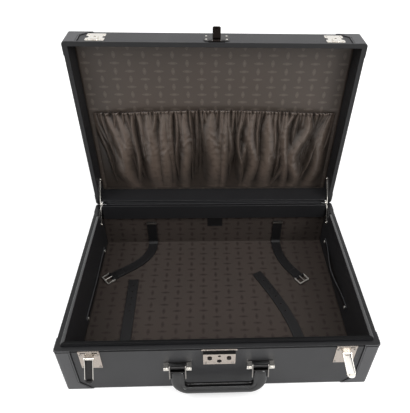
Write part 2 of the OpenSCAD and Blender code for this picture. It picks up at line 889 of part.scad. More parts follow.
catch_low = lid_z + 3.4;
bridge_foot = lid_z + 5.4;
bridge_h = 15;
catch_sheet_t = 1.2;
catch_spots = [for (s = [-1, 1], dx = [-1, 1], z = [catch_low + 5, catch_low + catch_h - 5])
    [s * latch_x + dx * (catch_w / 2 - 4), z]];

module lid_catch(s) {
    waist = 10;
    hook_r = 2;
    hook_z = bridge_foot + bridge_h - 5;
    color(nickel) opened() difference() {
        union() {
            upright(front_y - catch_sheet_t, front_y) translate([s * latch_x, catch_low + catch_h / 2])
                difference() {
                    round_rect(catch_w, catch_h, 3);
                    for (e = [-1, 1]) translate([e * catch_w / 2, 0]) circle(d = waist);
                }
            upright(front_y - bridge_proud, front_y - catch_sheet_t / 2)
                translate([s * latch_x, bridge_foot + bridge_h / 2]) round_rect(bridge_w, bridge_h, 2);
        }
        bars_y([[s * latch_x, hook_z]], hook_r, front_y - bridge_proud - past, front_y - catch_sheet_t);
        bars_y(catch_spots, rivet_r + fit, front_y - 2 * catch_sheet_t, front_y + past);
    }
}

module lid_catch_left() {
    lid_catch(-1);
}

module lid_catch_right() {
    lid_catch(1);
}

// The lid's rivets: in the catches, the hasp's plate and the feet of the hinge leaves
module lid_rivets() {
    color(nickel) opened() {
        front_rivets(concat(catch_spots, hasp_spots), front_y - catch_sheet_t);
        for (s = [-1, 1]) scale([s, 1, 1]) foot_rivet(lid_foot, lid_leaf_out - leaf_t, lid_half_in);
    }
}

// Handle: two mounts with a rod, two claws on the rods and a padded grip

foot_size = 9;
foot_out = handle_out + rod_r + 1;
screw_r = 1.5;
screw_l = 8;
screw_head_r = 2.6;
screw_head_h = 1.2;
handle_pivot = [front_y - handle_out, handle_z];
screw_spots = [for (s = [-1, 1], e = [-1, 1]) [s * mount_x + e * mount_span / 2, handle_z]];

module handle_mount(s) {
    plate_h = 5;
    plate_t = 1.5;
    color(nickel) translate([s * mount_x, 0, 0]) difference() {
        union() {
            for (e = [-1, 1]) {
                translate([e * mount_span / 2 - foot_size / 2, front_y - foot_out, handle_z - foot_size / 2])
                    cube([foot_size, foot_out, foot_size]);
            }
            bar_x(handle_pivot, rod_r, -mount_span / 2, mount_span / 2);
            translate([-mount_span / 2, front_y - plate_t, handle_z + foot_size / 2 - plate_h])
                cube([mount_span, plate_t, plate_h]);
        }
        bars_y([for (e = [-1, 1]) [e * mount_span / 2, handle_z]], screw_r + fit,
            front_y - foot_out - past, front_y + past);
    }
}

module handle_mount_left() {
    handle_mount(-1);
}

module handle_mount_right() {
    handle_mount(1);
}

module handle_screws() {
    slot_w = 0.8;
    slot_deep = 0.6;
    face = front_y - foot_out - screw_head_h;
    color(nickel) difference() {
        union() {
            bars_y(screw_spots, screw_r, front_y - foot_out, front_y + screw_l);
            bars_y(screw_spots, screw_head_r, face, front_y - foot_out);
        }
        for (p = screw_spots) {
            translate([p[0] - 2 * screw_head_r, face - past, p[1] - slot_w / 2])
                cube([4 * screw_head_r, past + slot_deep, slot_w]);
        }
    }
}

// Turns a handle piece that hangs straight down from the origin out to its resting angle
module hung() {
    translate([0, handle_pivot[0], handle_pivot[1]]) rotate([-handle_rest, 0, 0]) children();
}

claw_t = 1.6;
claw_eye_r = 4;
claw_inner = end_half_w + 0.3;
claw_tip = 27;
claw_leg_w = 7;
claw_bridge_z = 7;
claw_bridge_t = 2;
grip_top = claw_bridge_z + claw_bridge_t + 0.3;

// An inverted U: two legs with eyes on the rod, and a bridge over the grip's end
module handle_claw(s) {
    half = claw_leg_w / 2;
    leg = [[-claw_eye_r, 0], [claw_eye_r, 0], [half, half - claw_tip], [0, -claw_tip],
        [-half, half - claw_tip]];
    color(nickel) hung() translate([s * mount_x, 0, 0]) difference() {
        union() {
            for (e = [-1, 1]) scale([e, 1, 1]) sideways(claw_inner, claw_inner + claw_t) union() {
                circle(r = claw_eye_r);
                polygon(leg);
            }
            translate([-claw_inner - claw_t / 2, -half, -claw_bridge_z - claw_bridge_t])
                cube([2 * claw_inner + claw_t, claw_leg_w, claw_bridge_t]);
        }
        bar_x([0, 0], rod_r + fit, -mount_span, mount_span);
    }
}

module handle_claw_left() {
    handle_claw(-1);
}

module handle_claw_right() {
    handle_claw(1);
}

// The grip follows one end down, a round bend and the bar up to its middle, then the mirror
// image. Each ring is [x, z, direction of travel, half width in the plane, half thickness].
bend_steps = 7;
bar_steps = 5;
grip_sides = 16;
function ease(a, b, t) = a + (b - a) * (1 - cos(180 * t)) / 2;
function end_ring(t, w, h) = [-mount_x, -grip_top - t * (grip_drop - grip_bend - grip_top), -90, w, h];
function bend_ring(t) = [-mount_x + grip_bend * (1 - cos(90 * t)),
    -grip_drop + grip_bend * (1 - sin(90 * t)), 90 * t - 90, ease(end_half_w, grip_half_h, t),
    ease(end_half_t, grip_half_t, t)];
function bar_ring(t) = [-(mount_x - grip_bend) * (1 - t), -grip_drop, 0, grip_half_h, grip_half_t];
function left_rings() = concat(
    [end_ring(0, 0.88 * end_half_w, 0.7 * end_half_t), end_ring(0.3, end_half_w, end_half_t)],
    [for (i = [0 : bend_steps]) bend_ring(i / bend_steps)],
    [for (i = [1 : bar_steps]) bar_ring(i / bar_steps)]);
function flip(r) = [-r[0], r[1], -r[2], r[3], r[4]];
function grip_rings() = let (l = left_rings()) concat(l, [for (i = [len(l) - 2 : -1 : 0]) flip(l[i])]);
function grip_point(r, j) = let (a = 360 * j / grip_sides, n = r[3] * cos(a))
    [r[0] - n * sin(r[2]), r[4] * sin(a), r[1] + n * cos(r[2])];

module handle_grip() {
    m = grip_sides;
    rings = grip_rings();
    last = len(rings) - 1;
    points = [for (r = rings, j = [0 : m - 1]) grip_point(r, j)];
    sides = [for (i = [0 : last - 1], j = [0 : m - 1]) let (k = (j + 1) % m, a = i * m)
        [a + j, a + k, a + m + k, a + m + j]];
    caps = [[for (j = [m - 1 : -1 : 0]) j], [for (j = [0 : m - 1]) last * m + j]];
    color(strap_leather) hung() polyhedron(points, concat(sides, caps));
}

// Packing straps

// A point on the curve that four points steer, its direction there, and a point beside it
function bezier(p, t) = pow(1 - t, 3) * p[0] + 3 * t * pow(1 - t, 2) * p[1]
    + 3 * pow(t, 2) * (1 - t) * p[2] + pow(t, 3) * p[3];
function slope(p, t) = pow(1 - t, 2) * (p[1] - p[0]) + 2 * t * (1 - t) * (p[2] - p[1])
    + pow(t, 2) * (p[3] - p[2]);
function beside(p, t, d) = let (v = slope(p, t)) bezier(p, t) + d * [-v[1], v[0]] / norm(v);

band_steps = 16;
// The plan of a band of width w along a curve
module band_plan(p, w) {
    polygon(concat([for (i = [0 : band_steps]) beside(p, i / band_steps, w / 2)],
        [for (i = [band_steps : -1 : 0]) beside(p, i / band_steps, -w / 2)]));
}

strap_low = floor_z + lie;
bend_z = strap_low + strap_bend;
rear_turn = lining_rear_y - lie - strap_bend;
front_turn = lining_front_y + lie + strap_bend;

// The part of a strap on a wall whose lining faces +y or -y, and its bend onto the floor
module strap_riser(x, wall_y, side) {
    face = wall_y + side * lie;
    turn_y = face + side * strap_bend;
    union() {
        translate([x - strap_w / 2, side > 0 ? face : face - strap_t, bend_z])
            cube([strap_w, strap_t, strap_top - bend_z]);
        intersection() {
            difference() {
                bar_x([turn_y, bend_z], strap_bend, x - strap_w / 2, x + strap_w / 2);
                bar_x([turn_y, bend_z], strap_bend - strap_t, x - strap_w, x + strap_w);
            }
            translate([x - strap_w, side > 0 ? face - past : turn_y, strap_low - past])
                cube([2 * strap_w, strap_bend + past, strap_bend + past]);
        }
    }
}

// A strap without its end: riser, bend and the band that lies on the floor along a curve
module floor_strap(p, wall_y, side) {
    union() {
        strap_riser(p[0][0], wall_y, side);
        translate([0, 0, strap_low]) linear_extrude(strap_t) band_plan(p, strap_w);
    }
}

left_rear_end = [-half_in + left_end_in, left_end_y];
right_rear_end = [half_in - right_end_in, right_end_y];
left_rear_route = [[-rear_strap_x, rear_turn], [-rear_strap_x, left_rear_turn_y],
    left_rear_end + [left_aim_x, left_aim_y], left_rear_end];
right_rear_route = [[rear_strap_x, rear_turn], [rear_strap_x, right_rear_turn_y],
    right_rear_end + [-right_aim_x, right_aim_y], right_rear_end];
left_front_x = -half_in + left_front_in;
right_front_x = half_in - right_front_in;
left_front_route = [[left_front_x, front_turn], [left_front_x, -left_front_turn_y],
    [left_front_x - left_front_aim_x, -left_front_aim_y],
    [left_front_x - left_front_lean, left_front_end_y]];
right_front_route = [[right_front_x, front_turn], [right_front_x, -right_front_turn_y],
    [right_front_x - right_front_aim_x, -right_front_aim_y],
    [right_front_x - right_front_lean, right_front_end_y]];

// Places a buckle drawn along +X at the end of a strap, its hinge rod through the origin
loop_r = strap_t + 1;
module at_strap_end(p) {
    v = slope(p, 1);
    translate([p[3][0], p[3][1], strap_low + loop_r + 0.1]) rotate(atan2(v[1], v[0])) children();
}

// A round bar along the buckle's hinge rod
module rod_bar(r, w) {
    translate([0, w / 2, 0]) rotate([90, 0, 0]) cylinder(r = r, h = w);
}

buckle_t = 2.4;
buckle_w = strap_w + 2 * bar_w + 2 * gap;
buckle_rod_r = buckle_t / 2 - 0.1;
prong_r = 0.9;
prong_collar_r = 2.1;
prong_collar_w = 2.2;
prong_slot = prong_collar_w + 2 * gap;

// A rear strap, whose end loops round the buckle's rod and is slotted for the prong
module rear_strap(p) {
    color(strap_leather) difference() {
        union() {
            floor_strap(p, lining_rear_y, -1);
            at_strap_end(p) rod_bar(loop_r, strap_w);
        }
        at_strap_end(p) {
            rod_bar(buckle_rod_r + fit, 2 * strap_w);
            rod_bar(prong_collar_r + gap, prong_slot);
            translate([-loop_r - past, -prong_slot / 2, -0.8])
                cube([2 * (loop_r + past), prong_slot, 2 * loop_r]);
        }
    }
}

module rear_strap_left() {
    rear_strap(left_rear_route);
}

module rear_strap_right() {
    rear_strap(right_rear_route);
}

// A front strap with five holes for the buckle's prong
module front_strap(p) {
    color(strap_leather) difference() {
        floor_strap(p, lining_front_y, 1);
        for (i = [1 : 5]) {
            translate(concat(bezier(p, 1 - 0.075 * i), floor_z)) cylinder(r = 1.6, h = 3 * strap_t);
        }
    }
}

module front_strap_left() {
    front_strap(left_front_route);
}

module front_strap_right() {
    front_strap(right_front_route);
}

// Metal bars that clamp the upper ends of the four straps
module strap_plates() {
    plate_w = strap_w + 2;
    plate_h = 5;
    plate_t = 1.4;
    bar_z = strap_top - plate_h - 1;
    color(nickel) {
        for (x = [left_rear_route[0][0], right_rear_route[0][0]]) {
            translate([x - plate_w / 2, lining_rear_y - lie - strap_t - plate_t, bar_z])
                cube([plate_w, plate_t, plate_h]);
        }
        for (x = [left_front_route[0][0], right_front_route[0][0]]) {
            translate([x - plate_w / 2, lining_front_y + lie + strap_t, bar_z])
                cube([plate_w, plate_t, plate_h]);
        }
    }
}

// A flat frame whose near side is a round rod in the strap's loop
module buckle(p) {
    inner_w = buckle_w - 2 * bar_w;
    mid = buckle_l / 2 - bar_w / 2;
    color(nickel) at_strap_end(p) union() {
        translate([0, 0, -buckle_t / 2]) linear_extrude(buckle_t) difference() {
            translate([mid, 0]) round_rect(buckle_l, buckle_w, 2.2);
            translate([mid, 0]) round_rect(buckle_l - 2 * bar_w, inner_w, 1);
            translate([-bar_w, -inner_w / 2]) square([3 * bar_w, inner_w]);
        }
        rod_bar(buckle_rod_r, buckle_w - bar_w);
    }
}

module buckle_left() {
    buckle(left_rear_route);
}

module buckle_right() {
    buckle(right_rear_route);
}

// A prong on the buckle's rod, its point above the far bar
module buckle_prong(p) {
    rise = buckle_t / 2 + prong_r + 0.3;
    color(nickel) at_strap_end(p) difference() {
        union() {
            rod_bar(prong_collar_r, prong_collar_w);
            translate([0, 0, rise]) rotate([0, 90, 0]) cylinder(r = prong_r, h = buckle_l - bar_w);
        }
        rod_bar(buckle_rod_r + fit, buckle_w);
    }
}

module buckle_prong_left() {
    buckle_prong(left_rear_route);
}

module buckle_prong_right() {
    buckle_prong(right_rear_route);
}

// Side straps, held by a stud at each end

side_spots_y = [-55, 140];
side_inner = half_in - lining_t - lie;
function side_z(s) = s < 0 ? left_side_z : right_side_z;

// One face of a side strap from end to end, bowing between its studs
function side_face(x, bow) = let (h = side_strap_w / 2, a = side_spots_y[0] + h, b = side_spots_y[1] - h)
    concat([[x, a - 2 * h]], [for (i = [0 : band_steps]) let (t = i / band_steps)
        [x - bow * (1 - cos(360 * t)) / 2, a + (b - a) * t]], [[x, b + 2 * h]]);

module side_strap(s, bow) {
    outer = side_face(side_inner, bow);
    inner = side_face(side_inner - strap_t, bow);
    n = len(inner);
    color(strap_leather) scale([s, 1, 1]) difference() {
        translate([0, 0, side_z(s) - side_strap_w / 2]) linear_extrude(side_strap_w)
            polygon(concat(outer, [for (i = [n - 1 : -1 : 0]) inner[i]]));
        for (y = side_spots_y) bar_x([y, side_z(s)], rivet_r + fit, 0, case_w);
    }
}

module side_strap_left() {
    side_strap(-1, 1);
}

module side_strap_right() {
    side_strap(1, side_bow);
}

module side_strap_studs() {
    stud_r = 3.4;
    stud_h = 1.8;
    seat = side_inner - strap_t;
    color(nickel) for (s = [-1, 1], y = side_spots_y) scale([s, 1, 1]) {
        bar_x([y, side_z(s)], stud_r, seat - stud_h, seat);
        bar_x([y, side_z(s)], rivet_r, seat, half_in + rivet_l - fit);
    }
}

// Gathered pocket. u runs across from -1 to 1 and v from the elastic edge, 0, to the lower
// seam, 1. The cloth stands off the lining by its mouth, a belly and its main folds.
seam_lift = 0.05;
pocket_half = lid_half_in - pocket_side;
pocket_low_y = rear_y - pocket_foot;
pocket_cols = 72;
pocket_rows = 7;
function edge_y(u) = front_y + pocket_top + pocket_bow * u * u;
function pinned(u) = 1 - pow(abs(u), 6);
function fold(u, v) = fold_depth * pinned(u) * (0.35 + 0.65 * sin(180 * v)) * (1 - pow(v, 4))
    * cos(180 * fold_count * u + 40 * sin(270 * u) + 30 * v);
function swell(u, v) = pinned(u)
    * (pocket_mouth * (1 - pow(v, 4)) + pocket_belly * sin(180 * pow(v, 1.2)));
function pocket_point(u, v, out) = [u * pocket_half, edge_y(u) + (pocket_low_y - edge_y(u)) * v,
    panel_z - seam_lift - swell(u, v) - fold(u, v) - out];

module lid_pocket() {
    m = pocket_cols + 1;
    half = m * (pocket_rows + 1);
    spots = [for (out = [0, cloth_t], j = [0 : pocket_rows], i = [0 : pocket_cols])
        pocket_point(2 * i / pocket_cols - 1, j / pocket_rows, out)];
    inner = [for (j = [0 : pocket_rows - 1], i = [0 : pocket_cols - 1]) let (a = j * m + i)
        each [[a, a + m, a + m + 1], [a, a + m + 1, a + 1]]];
    outer = [for (f = inner) [f[0] + half, f[2] + half, f[1] + half]];
    rim = concat([for (i = [0 : pocket_cols - 1]) i],
        [for (j = [0 : pocket_rows - 1]) j * m + pocket_cols],
        [for (i = [pocket_cols : -1 : 1]) pocket_rows * m + i],
        [for (j = [pocket_rows : -1 : 1]) j * m]);
    walls = [for (k = [0 : len(rim) - 1]) let (a = rim[k], b = rim[(k + 1) % len(rim)])
        each [[a, b, b + half], [a, b + half, a + half]]];
    color(fabric) opened() polyhedron(spots, concat(inner, outer, walls));
}

// The elastic: a slim band along the pocket's edge
module pocket_elastic() {
    band_t = 2.4;
    n = pocket_cols;
    near = -gap;
    far = near - hem_h;
    section = [[near, band_t], [far, band_t], [far, 0], [near, 0]];
    spots = [for (i = [0 : n], c = section) pocket_point(2 * i / n - 1, 0, 0) + [0, c[0], -c[1]]];
    sides = [for (i = [0 : n - 1], k = [0 : 3]) let (a = 4 * i, m = (k + 1) % 4)
        each [[a + k, a + m, a + 4 + m], [a + k, a + 4 + m, a + 4 + k]]];
    caps = [[0, 3, 2], [0, 2, 1], [4 * n, 4 * n + 1, 4 * n + 2], [4 * n, 4 * n + 2, 4 * n + 3]];
    color(fabric) opened() polyhedron(spots, concat(sides, caps));
}

base_shell();
base_valance();
base_lining();
side_liners();
base_corners_front();
base_corners_rear();
lock_cover();
lock_back_plate();
lock_rivets();
lock_button_left();
lock_button_right();
lock_catch_left();
lock_catch_right();
key_cylinder();
latch_plate_left();
latch_plate_right();
latch_pins();
latch_rivets();
latch_lever_left();
latch_lever_right();
handle_mount_left();
handle_mount_right();
handle_screws();
handle_claw_left();
handle_claw_right();
handle_grip();
base_hinge_leaf_left();
base_hinge_leaf_right();
hinge_pins();
base_leaf_rivets();
base_hinge_strip();
rear_strap_left();
rear_strap_right();
strap_plates();
buckle_left();
buckle_right();
buckle_prong_left();
buckle_prong_right();
front_strap_left();
front_strap_right();
side_strap_left();
side_strap_right();
side_strap_studs();
label_patch();
lid_shell();
lid_lining();
lid_pocket();
pocket_elastic();
lid_corners_front();
lid_corners_rear();
lid_catch_left();
lid_catch_right();
hasp_plate();
hasp_pin();
hasp_flap();
lid_rivets();
lid_hinge_leaf_left();
lid_hinge_leaf_right();
lid_hinge_strip();
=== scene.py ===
import json
import math

import bmesh
import bpy
import numpy as np
from mathutils import Matrix, Vector

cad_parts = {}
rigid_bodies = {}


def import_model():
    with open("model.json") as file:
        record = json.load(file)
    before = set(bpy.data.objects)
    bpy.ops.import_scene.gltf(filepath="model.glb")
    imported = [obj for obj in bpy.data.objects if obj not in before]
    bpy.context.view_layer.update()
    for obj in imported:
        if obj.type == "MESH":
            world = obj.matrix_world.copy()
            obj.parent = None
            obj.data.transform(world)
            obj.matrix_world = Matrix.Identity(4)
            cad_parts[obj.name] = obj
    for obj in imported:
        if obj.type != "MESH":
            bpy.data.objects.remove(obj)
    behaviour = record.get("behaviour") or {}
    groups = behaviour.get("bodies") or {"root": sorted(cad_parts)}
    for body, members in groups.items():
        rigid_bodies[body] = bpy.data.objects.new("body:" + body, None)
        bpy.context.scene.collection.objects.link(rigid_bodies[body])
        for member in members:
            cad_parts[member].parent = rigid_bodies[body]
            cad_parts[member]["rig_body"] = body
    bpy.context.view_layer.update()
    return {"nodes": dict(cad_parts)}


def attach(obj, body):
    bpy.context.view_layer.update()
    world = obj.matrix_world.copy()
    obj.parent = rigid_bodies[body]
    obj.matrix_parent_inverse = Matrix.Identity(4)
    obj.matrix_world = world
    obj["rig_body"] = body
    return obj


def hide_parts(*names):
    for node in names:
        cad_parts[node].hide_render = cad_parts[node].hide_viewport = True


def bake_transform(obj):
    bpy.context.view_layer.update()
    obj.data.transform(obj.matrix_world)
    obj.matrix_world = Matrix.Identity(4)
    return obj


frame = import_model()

# Viewpoint. A camera 0.8 m above the floor looks down into the case from in front, turned a
# little to the right and rolled by a degree and a half.
PHOTO_SIDE = 413
FOCAL_PIXELS = 443.6
EYE = (-0.0206, -0.6259, 0.7962)
YAW, PITCH, ROLL = -3.14, -38.59, -1.58
SHIFT_X, SHIFT_Y = -0.0494, -0.0219


def turned(axis, degrees):
    """A turn about one axis."""
    return Matrix.Rotation(math.radians(degrees), 3, axis)


looking = turned("Z", YAW) @ turned("X", PITCH) @ turned("Y", ROLL)
right, ahead, up = looking.col
camera = bpy.data.objects.new("viewpoint", bpy.data.cameras.new("viewpoint"))
bpy.context.scene.collection.objects.link(camera)
camera.matrix_world = Matrix.Translation(EYE) @ Matrix((right, up, -ahead)).transposed().to_4x4()
camera.data.sensor_width = 36
camera.data.lens = FOCAL_PIXELS * camera.data.sensor_width / PHOTO_SIDE
camera.data.shift_x = SHIFT_X
camera.data.shift_y = SHIFT_Y
bpy.context.scene.camera = camera


# Floor and light. A pale studio floor under a broad even light, with one large soft lamp above
# and to the left of the case, a nearer one to its right and a long narrow one overhead.
def srgb(code):
    """The linear colour of an sRGB hex code: the standard curve, with its straight foot."""
    c = np.array([int(code[i : i + 2], 16) for i in (0, 2, 4)]) / 255
    return (*np.where(c <= 0.04045, c / 12.92, ((c + 0.055) / 1.055) ** 2.4).tolist(), 1.0)


def add(tree, kind, inputs=(), **settings):
    """A node of one kind in tree: settings are its properties, inputs its sockets' values or what
    is linked to them, a socket or the first output of a node."""
    node = tree.nodes.new("ShaderNode" + kind)
    for key, value in settings.items():
        setattr(node, key, value)
    for key, value in dict(inputs).items():
        if isinstance(value, bpy.types.Node):
            value = value.outputs[0]
        if isinstance(value, bpy.types.NodeSocket):
            tree.links.new(value, node.inputs[key])
        else:
            node.inputs[key].default_value = value
    return node


def finish(name, sockets):
    """A new material and its shader, with these values or links on the shader's sockets."""
    made = bpy.data.materials.new(name)
    made.use_nodes = True
    shader = made.node_tree.nodes["Principled BSDF"]
    for key, value in sockets.items():
        shader.inputs[key].default_value = value
    return made, made.node_tree, shader


# The floor glows a little, more so away from the case, so that it is white at the picture's edge.
FLOOR_HALF, FLOOR_SINK = 6, 0.0005
studio, tree, shader = finish("studio_floor", {"Base Color": srgb("f2f2f2"), "Roughness": 0.9})
ray = add(tree, "LightPath")
mirrored = add(tree, "Math", {0: ray.outputs["Is Glossy Ray"], 1: 0.16}, operation="MULTIPLY")
away = add(tree, "VectorMath", {0: add(tree, "TexCoord").outputs["Object"]}, operation="LENGTH")
glow = add(tree, "MapRange", {"Value": away.outputs["Value"], "From Min": 0.7, "From Max": 2.0,
                              "To Min": 0.5, "To Max": 0.9})
seen = add(tree, "Math", {0: ray.outputs["Is Camera Ray"], 1: glow, 2: mirrored},
           operation="MULTIPLY_ADD")
shader.inputs["Emission Color"].default_value = (1, 1, 1, 1)
tree.links.new(seen.outputs[0], shader.inputs["Emission Strength"])
mesh = bpy.data.meshes.new("studio_floor")
square = [(x * FLOOR_HALF, y * FLOOR_HALF, 0) for x, y in ((-1, -1), (1, -1), (1, 1), (-1, 1))]
mesh.from_pydata(square, [], [(0, 1, 2, 3)])
mesh.materials.append(studio)
floor = bpy.data.objects.new("studio_floor", mesh)
floor.location.z = -FLOOR_SINK
bpy.context.scene.collection.objects.link(floor)

world = bpy.data.worlds.new("studio")
world.use_nodes = True
bpy.context.scene.world = world
tree = world.node_tree
# In reflections the backdrop is white, the room's ceiling dark and a soft box hangs overhead.
ray = add(tree, "LightPath")
upward = add(tree, "SeparateXYZ", {0: add(tree, "TexCoord").outputs["Generated"]}).outputs["Z"]
room = add(tree, "MapRange", {"Value": upward, "From Min": 0.55, "From Max": 0.95,
                              "To Min": 1.05, "To Max": 0.35})
soft_box = add(tree, "MapRange", {"Value": upward, "From Min": 0.9, "From Max": 0.96, "To Max": 2.6})
both = add(tree, "Math", {0: room, 1: soft_box}, operation="ADD")
around = add(tree, "MapRange", {"Value": ray.outputs["Is Glossy Ray"], "To Min": 0.36,
                                "To Max": both})
level = add(tree, "Math", {0: ray.outputs["Is Camera Ray"], 1: around}, operation="MAXIMUM")
background = tree.nodes["Background"]
background.inputs["Color"].default_value = (1, 1, 1, 1)
tree.links.new(level.outputs[0], background.inputs["Strength"])

LAMPS = (("lamp_left", (-1.2, -0.45, 1.65), (0.8, 0.8), 13),
         ("lamp_right", (1.05, -0.8, 1.25), (0.8, 0.8), 13),
         ("lamp_above", (0, -0.35, 1.75), (1.6, 0.12), 5))
LAMP_AIM = Vector((0, 0.1, 0.15))
for name, place, size, watts in LAMPS:
    lamp = bpy.data.lights.new(name, "AREA")
    lamp.shape = "RECTANGLE"
    lamp.size, lamp.size_y = size
    lamp.energy = watts
    holder = bpy.data.objects.new(name, lamp)
    holder.location = place
    holder.rotation_euler = (LAMP_AIM - Vector(place)).to_track_quat("-Z", "Y").to_euler()
    bpy.context.scene.collection.objects.link(holder)

bpy.context.scene.view_settings.view_transform = "Standard"

# Case shells. Two trays of board covered in black vinyl leathercloth, its fine grain embossed
# by a roller and its edges turned over the rims, so that the rims are slightly round.
MM = 0.001
CASE_W, CASE_D, BASE_H, LID_H, LID_OPEN = 560, 390, 122, 50, 88
REAR_Y = CASE_D / 2
PATCH_T = 1


def swung(points, degrees):
    """Points in mm turned about the hinge line, which runs along the base's upper rear edge."""
    a = math.radians(degrees)
    y, z = points[..., 1] - REAR_Y, points[..., 2] - BASE_H
    return np.stack([points[..., 0], REAR_Y + y * math.cos(a) - z * math.sin(a),
                     BASE_H + y * math.sin(a) + z * math.cos(a)], -1)


def opened(points):
    """Points of the shut lid, in mm, where they lie when it is open."""
    return swung(points, -LID_OPEN)


def shut(points):
    """Points of the open lid, in mm, where they lie when it is shut."""
    return swung(points, LID_OPEN)


WEAR_SPAN = 71.4


def grained(name, tone, rough, shine, cell, depth, wear=0.06, ior=1.5):
    """A finish with the grain of coated or real leather: rounded cells of one size in mm with
    creases between them, a finer pore noise, and a change in gloss over WEAR_SPAN mm."""
    made, tree, shader = finish(name, {"Base Color": srgb(tone), "Roughness": rough,
                                       "Specular IOR Level": shine, "IOR": ior})
    place = add(tree, "TexCoord").outputs["Object"]
    cells = add(tree, "TexVoronoi", {"Vector": place, "Scale": 1000 / cell}, feature="DISTANCE_TO_EDGE")
    pores = add(tree, "TexNoise", {"Vector": place, "Scale": 2600 / cell, "Detail": 3.0})
    plateau = add(tree, "MapRange", {"Value": cells.outputs["Distance"], "From Max": 0.22})
    height = add(tree, "Math", {0: pores.outputs["Fac"], 1: 0.35, 2: plateau}, operation="MULTIPLY_ADD")
    bump = add(tree, "Bump", {"Height": height, "Strength": 0.5, "Distance": depth * MM})
    slow = add(tree, "TexNoise", {"Vector": place, "Scale": 1000 / WEAR_SPAN, "Detail": 2.0})
    base = shader.inputs["Roughness"].default_value
    gloss = add(tree, "MapRange", {"Value": slow.outputs["Fac"], "To Min": base - wear,
                                   "To Max": base + wear})
    tree.links.new(bump.outputs["Normal"], shader.inputs["Normal"])
    tree.links.new(gloss.outputs["Result"], shader.inputs["Roughness"])
    return made


# Vinyl leathercloth, roller embossed: black, half matt, a fine even pebble that is drawn at
# 1.5 mm, a little coarser than it is, so that it shows.
leathercloth = grained("vinyl_leathercloth", "303032", rough=0.5, shine=0.45, cell=1.5, depth=0.12)


def eased(node, width, finish_of, name, steps=2, sharp=30, pick=None):
    """A copy of a CAD node's solid, its doubles merged and its flat faces made whole, whose
    edges sharper than `sharp` degrees are rounded by `width` mm. pick says which edges, by
    their two ends in mm."""
    source = frame["nodes"][node]
    shape = bmesh.new()
    shape.from_mesh(source.data)
    bmesh.ops.remove_doubles(shape, verts=shape.verts, dist=2e-6)
    bmesh.ops.dissolve_limit(shape, angle_limit=math.radians(0.6), verts=shape.verts, edges=shape.edges)
    bmesh.ops.recalc_face_normals(shape, faces=shape.faces)
    edges = [e for e in shape.edges if len(e.link_faces) == 2
             and e.calc_face_angle(0) > math.radians(sharp)
             and (pick is None or pick(e.verts[0].co / MM, e.verts[1].co / MM))]
    bmesh.ops.bevel(shape, geom=edges, offset=width * MM, segments=steps, profile=0.5,
                    affect="EDGES", clamp_overlap=True, harden_normals=False)
    # A broad flat face keeps its flat shading up to its narrow rounded edges.
    for edge in shape.edges:
        turn = edge.calc_face_angle(math.pi)
        small, large = sorted(f.calc_area() / MM ** 2 for f in edge.link_faces)
        beside_flat = large > 100 and small < large / 5 and turn > 0.05
        edge.smooth = turn < math.radians(28) and not beside_flat
    bmesh.ops.triangulate(shape, faces=[f for f in shape.faces if len(f.verts) > 4])
    for face in shape.faces:
        face.smooth = True
    mesh = bpy.data.meshes.new(name)
    shape.to_mesh(mesh)
    shape.free()
    mesh.materials.clear()
    mesh.materials.append(finish_of)
    made = bpy.data.objects.new(mesh.name, mesh)
    bpy.context.scene.collection.objects.link(made)
    even = made.modifiers.new("even_normals", "WEIGHTED_NORMAL")
    even.keep_sharp = True
    even.weight = 90
    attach(made, source["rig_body"])
    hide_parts(node)
    return made


RIM_ROUND, RIM_NEAR = 1.4, 0.05
LID_CLEAR = 0.6


def base_rim(a, b):
    """The base's rim edges, whose two ends lie at the top of its walls."""
    return all(abs(p.z - BASE_H) < RIM_NEAR for p in (a, b))


def lid_rim(a, b):
    """The lid's rim edges, which lie in one plane just above the base's when it is shut."""
    return all(abs(shut(np.array(p))[2] - BASE_H - LID_CLEAR) < RIM_NEAR for p in (a, b))


base_case = eased("base_shell", RIM_ROUND, leathercloth, "base_case", 3, pick=base_rim)
lid_case = eased("lid_shell", RIM_ROUND, leathercloth, "lid_case", 3, pick=lid_rim)


def recover(made, finish_of, test):
    """Covers the faces whose centre in mm and direction pass the test with a second finish."""
    made.data.materials.append(finish_of)
    count = len(made.data.polygons)
    centre, normal = np.zeros(count * 3, np.float32), np.zeros(count * 3, np.float32)
    index = np.zeros(count, np.int32)
    made.data.polygons.foreach_get("center", centre)
    made.data.polygons.foreach_get("normal", normal)
    made.data.polygons.foreach_get("material_index", index)
    picked = test(centre.reshape(-1, 3) / MM, normal.reshape(-1, 3))
    index[picked] = len(made.data.materials) - 1
    made.data.polygons.foreach_set("material_index", index)


# The rims are bound with a smoother and glossier strip, which reaches this far from their tops.
BASE_BOUND, LID_BOUND = 1.5, 2.2
rim_binding = grained("rim_binding", "121214", rough=0.3, shine=0.45, cell=1.2, depth=0.06)
recover(base_case, rim_binding, lambda c, n: c[:, 2] > BASE_H - BASE_BOUND)
# The boards inside are covered in a smoother, blacker leathercloth of the same make.
board_cloth = grained("board_leathercloth", "1b1b1d", rough=0.5, shine=0.4, cell=1.2, depth=0.07)
LID_IN_X, LID_IN_Y, LID_IN_LOW, LID_IN_TOP = 271.5, 186.5, 2.5, 4


def in_lid(c, n):
    """The faces of the lid's inner walls."""
    x, y, z = np.abs(shut(c)).T
    between = (z > BASE_H + LID_IN_LOW) & (z < BASE_H + LID_H - LID_IN_TOP)
    return (x < LID_IN_X) & (y < LID_IN_Y) & between


recover(lid_case, board_cloth, in_lid)
recover(lid_case, rim_binding, lambda c, n: shut(c)[:, 2] < BASE_H + LID_BOUND)


# Black covered boards. The frame inside the base's walls, the boards on its side walls and the
# strips that close the rear joint are covered in the same leathercloth.
def refinish(node, finish_of):
    """Gives a CAD node that keeps its shape its finish."""
    mesh = frame["nodes"][node].data
    mesh.materials.clear()
    mesh.materials.append(finish_of)


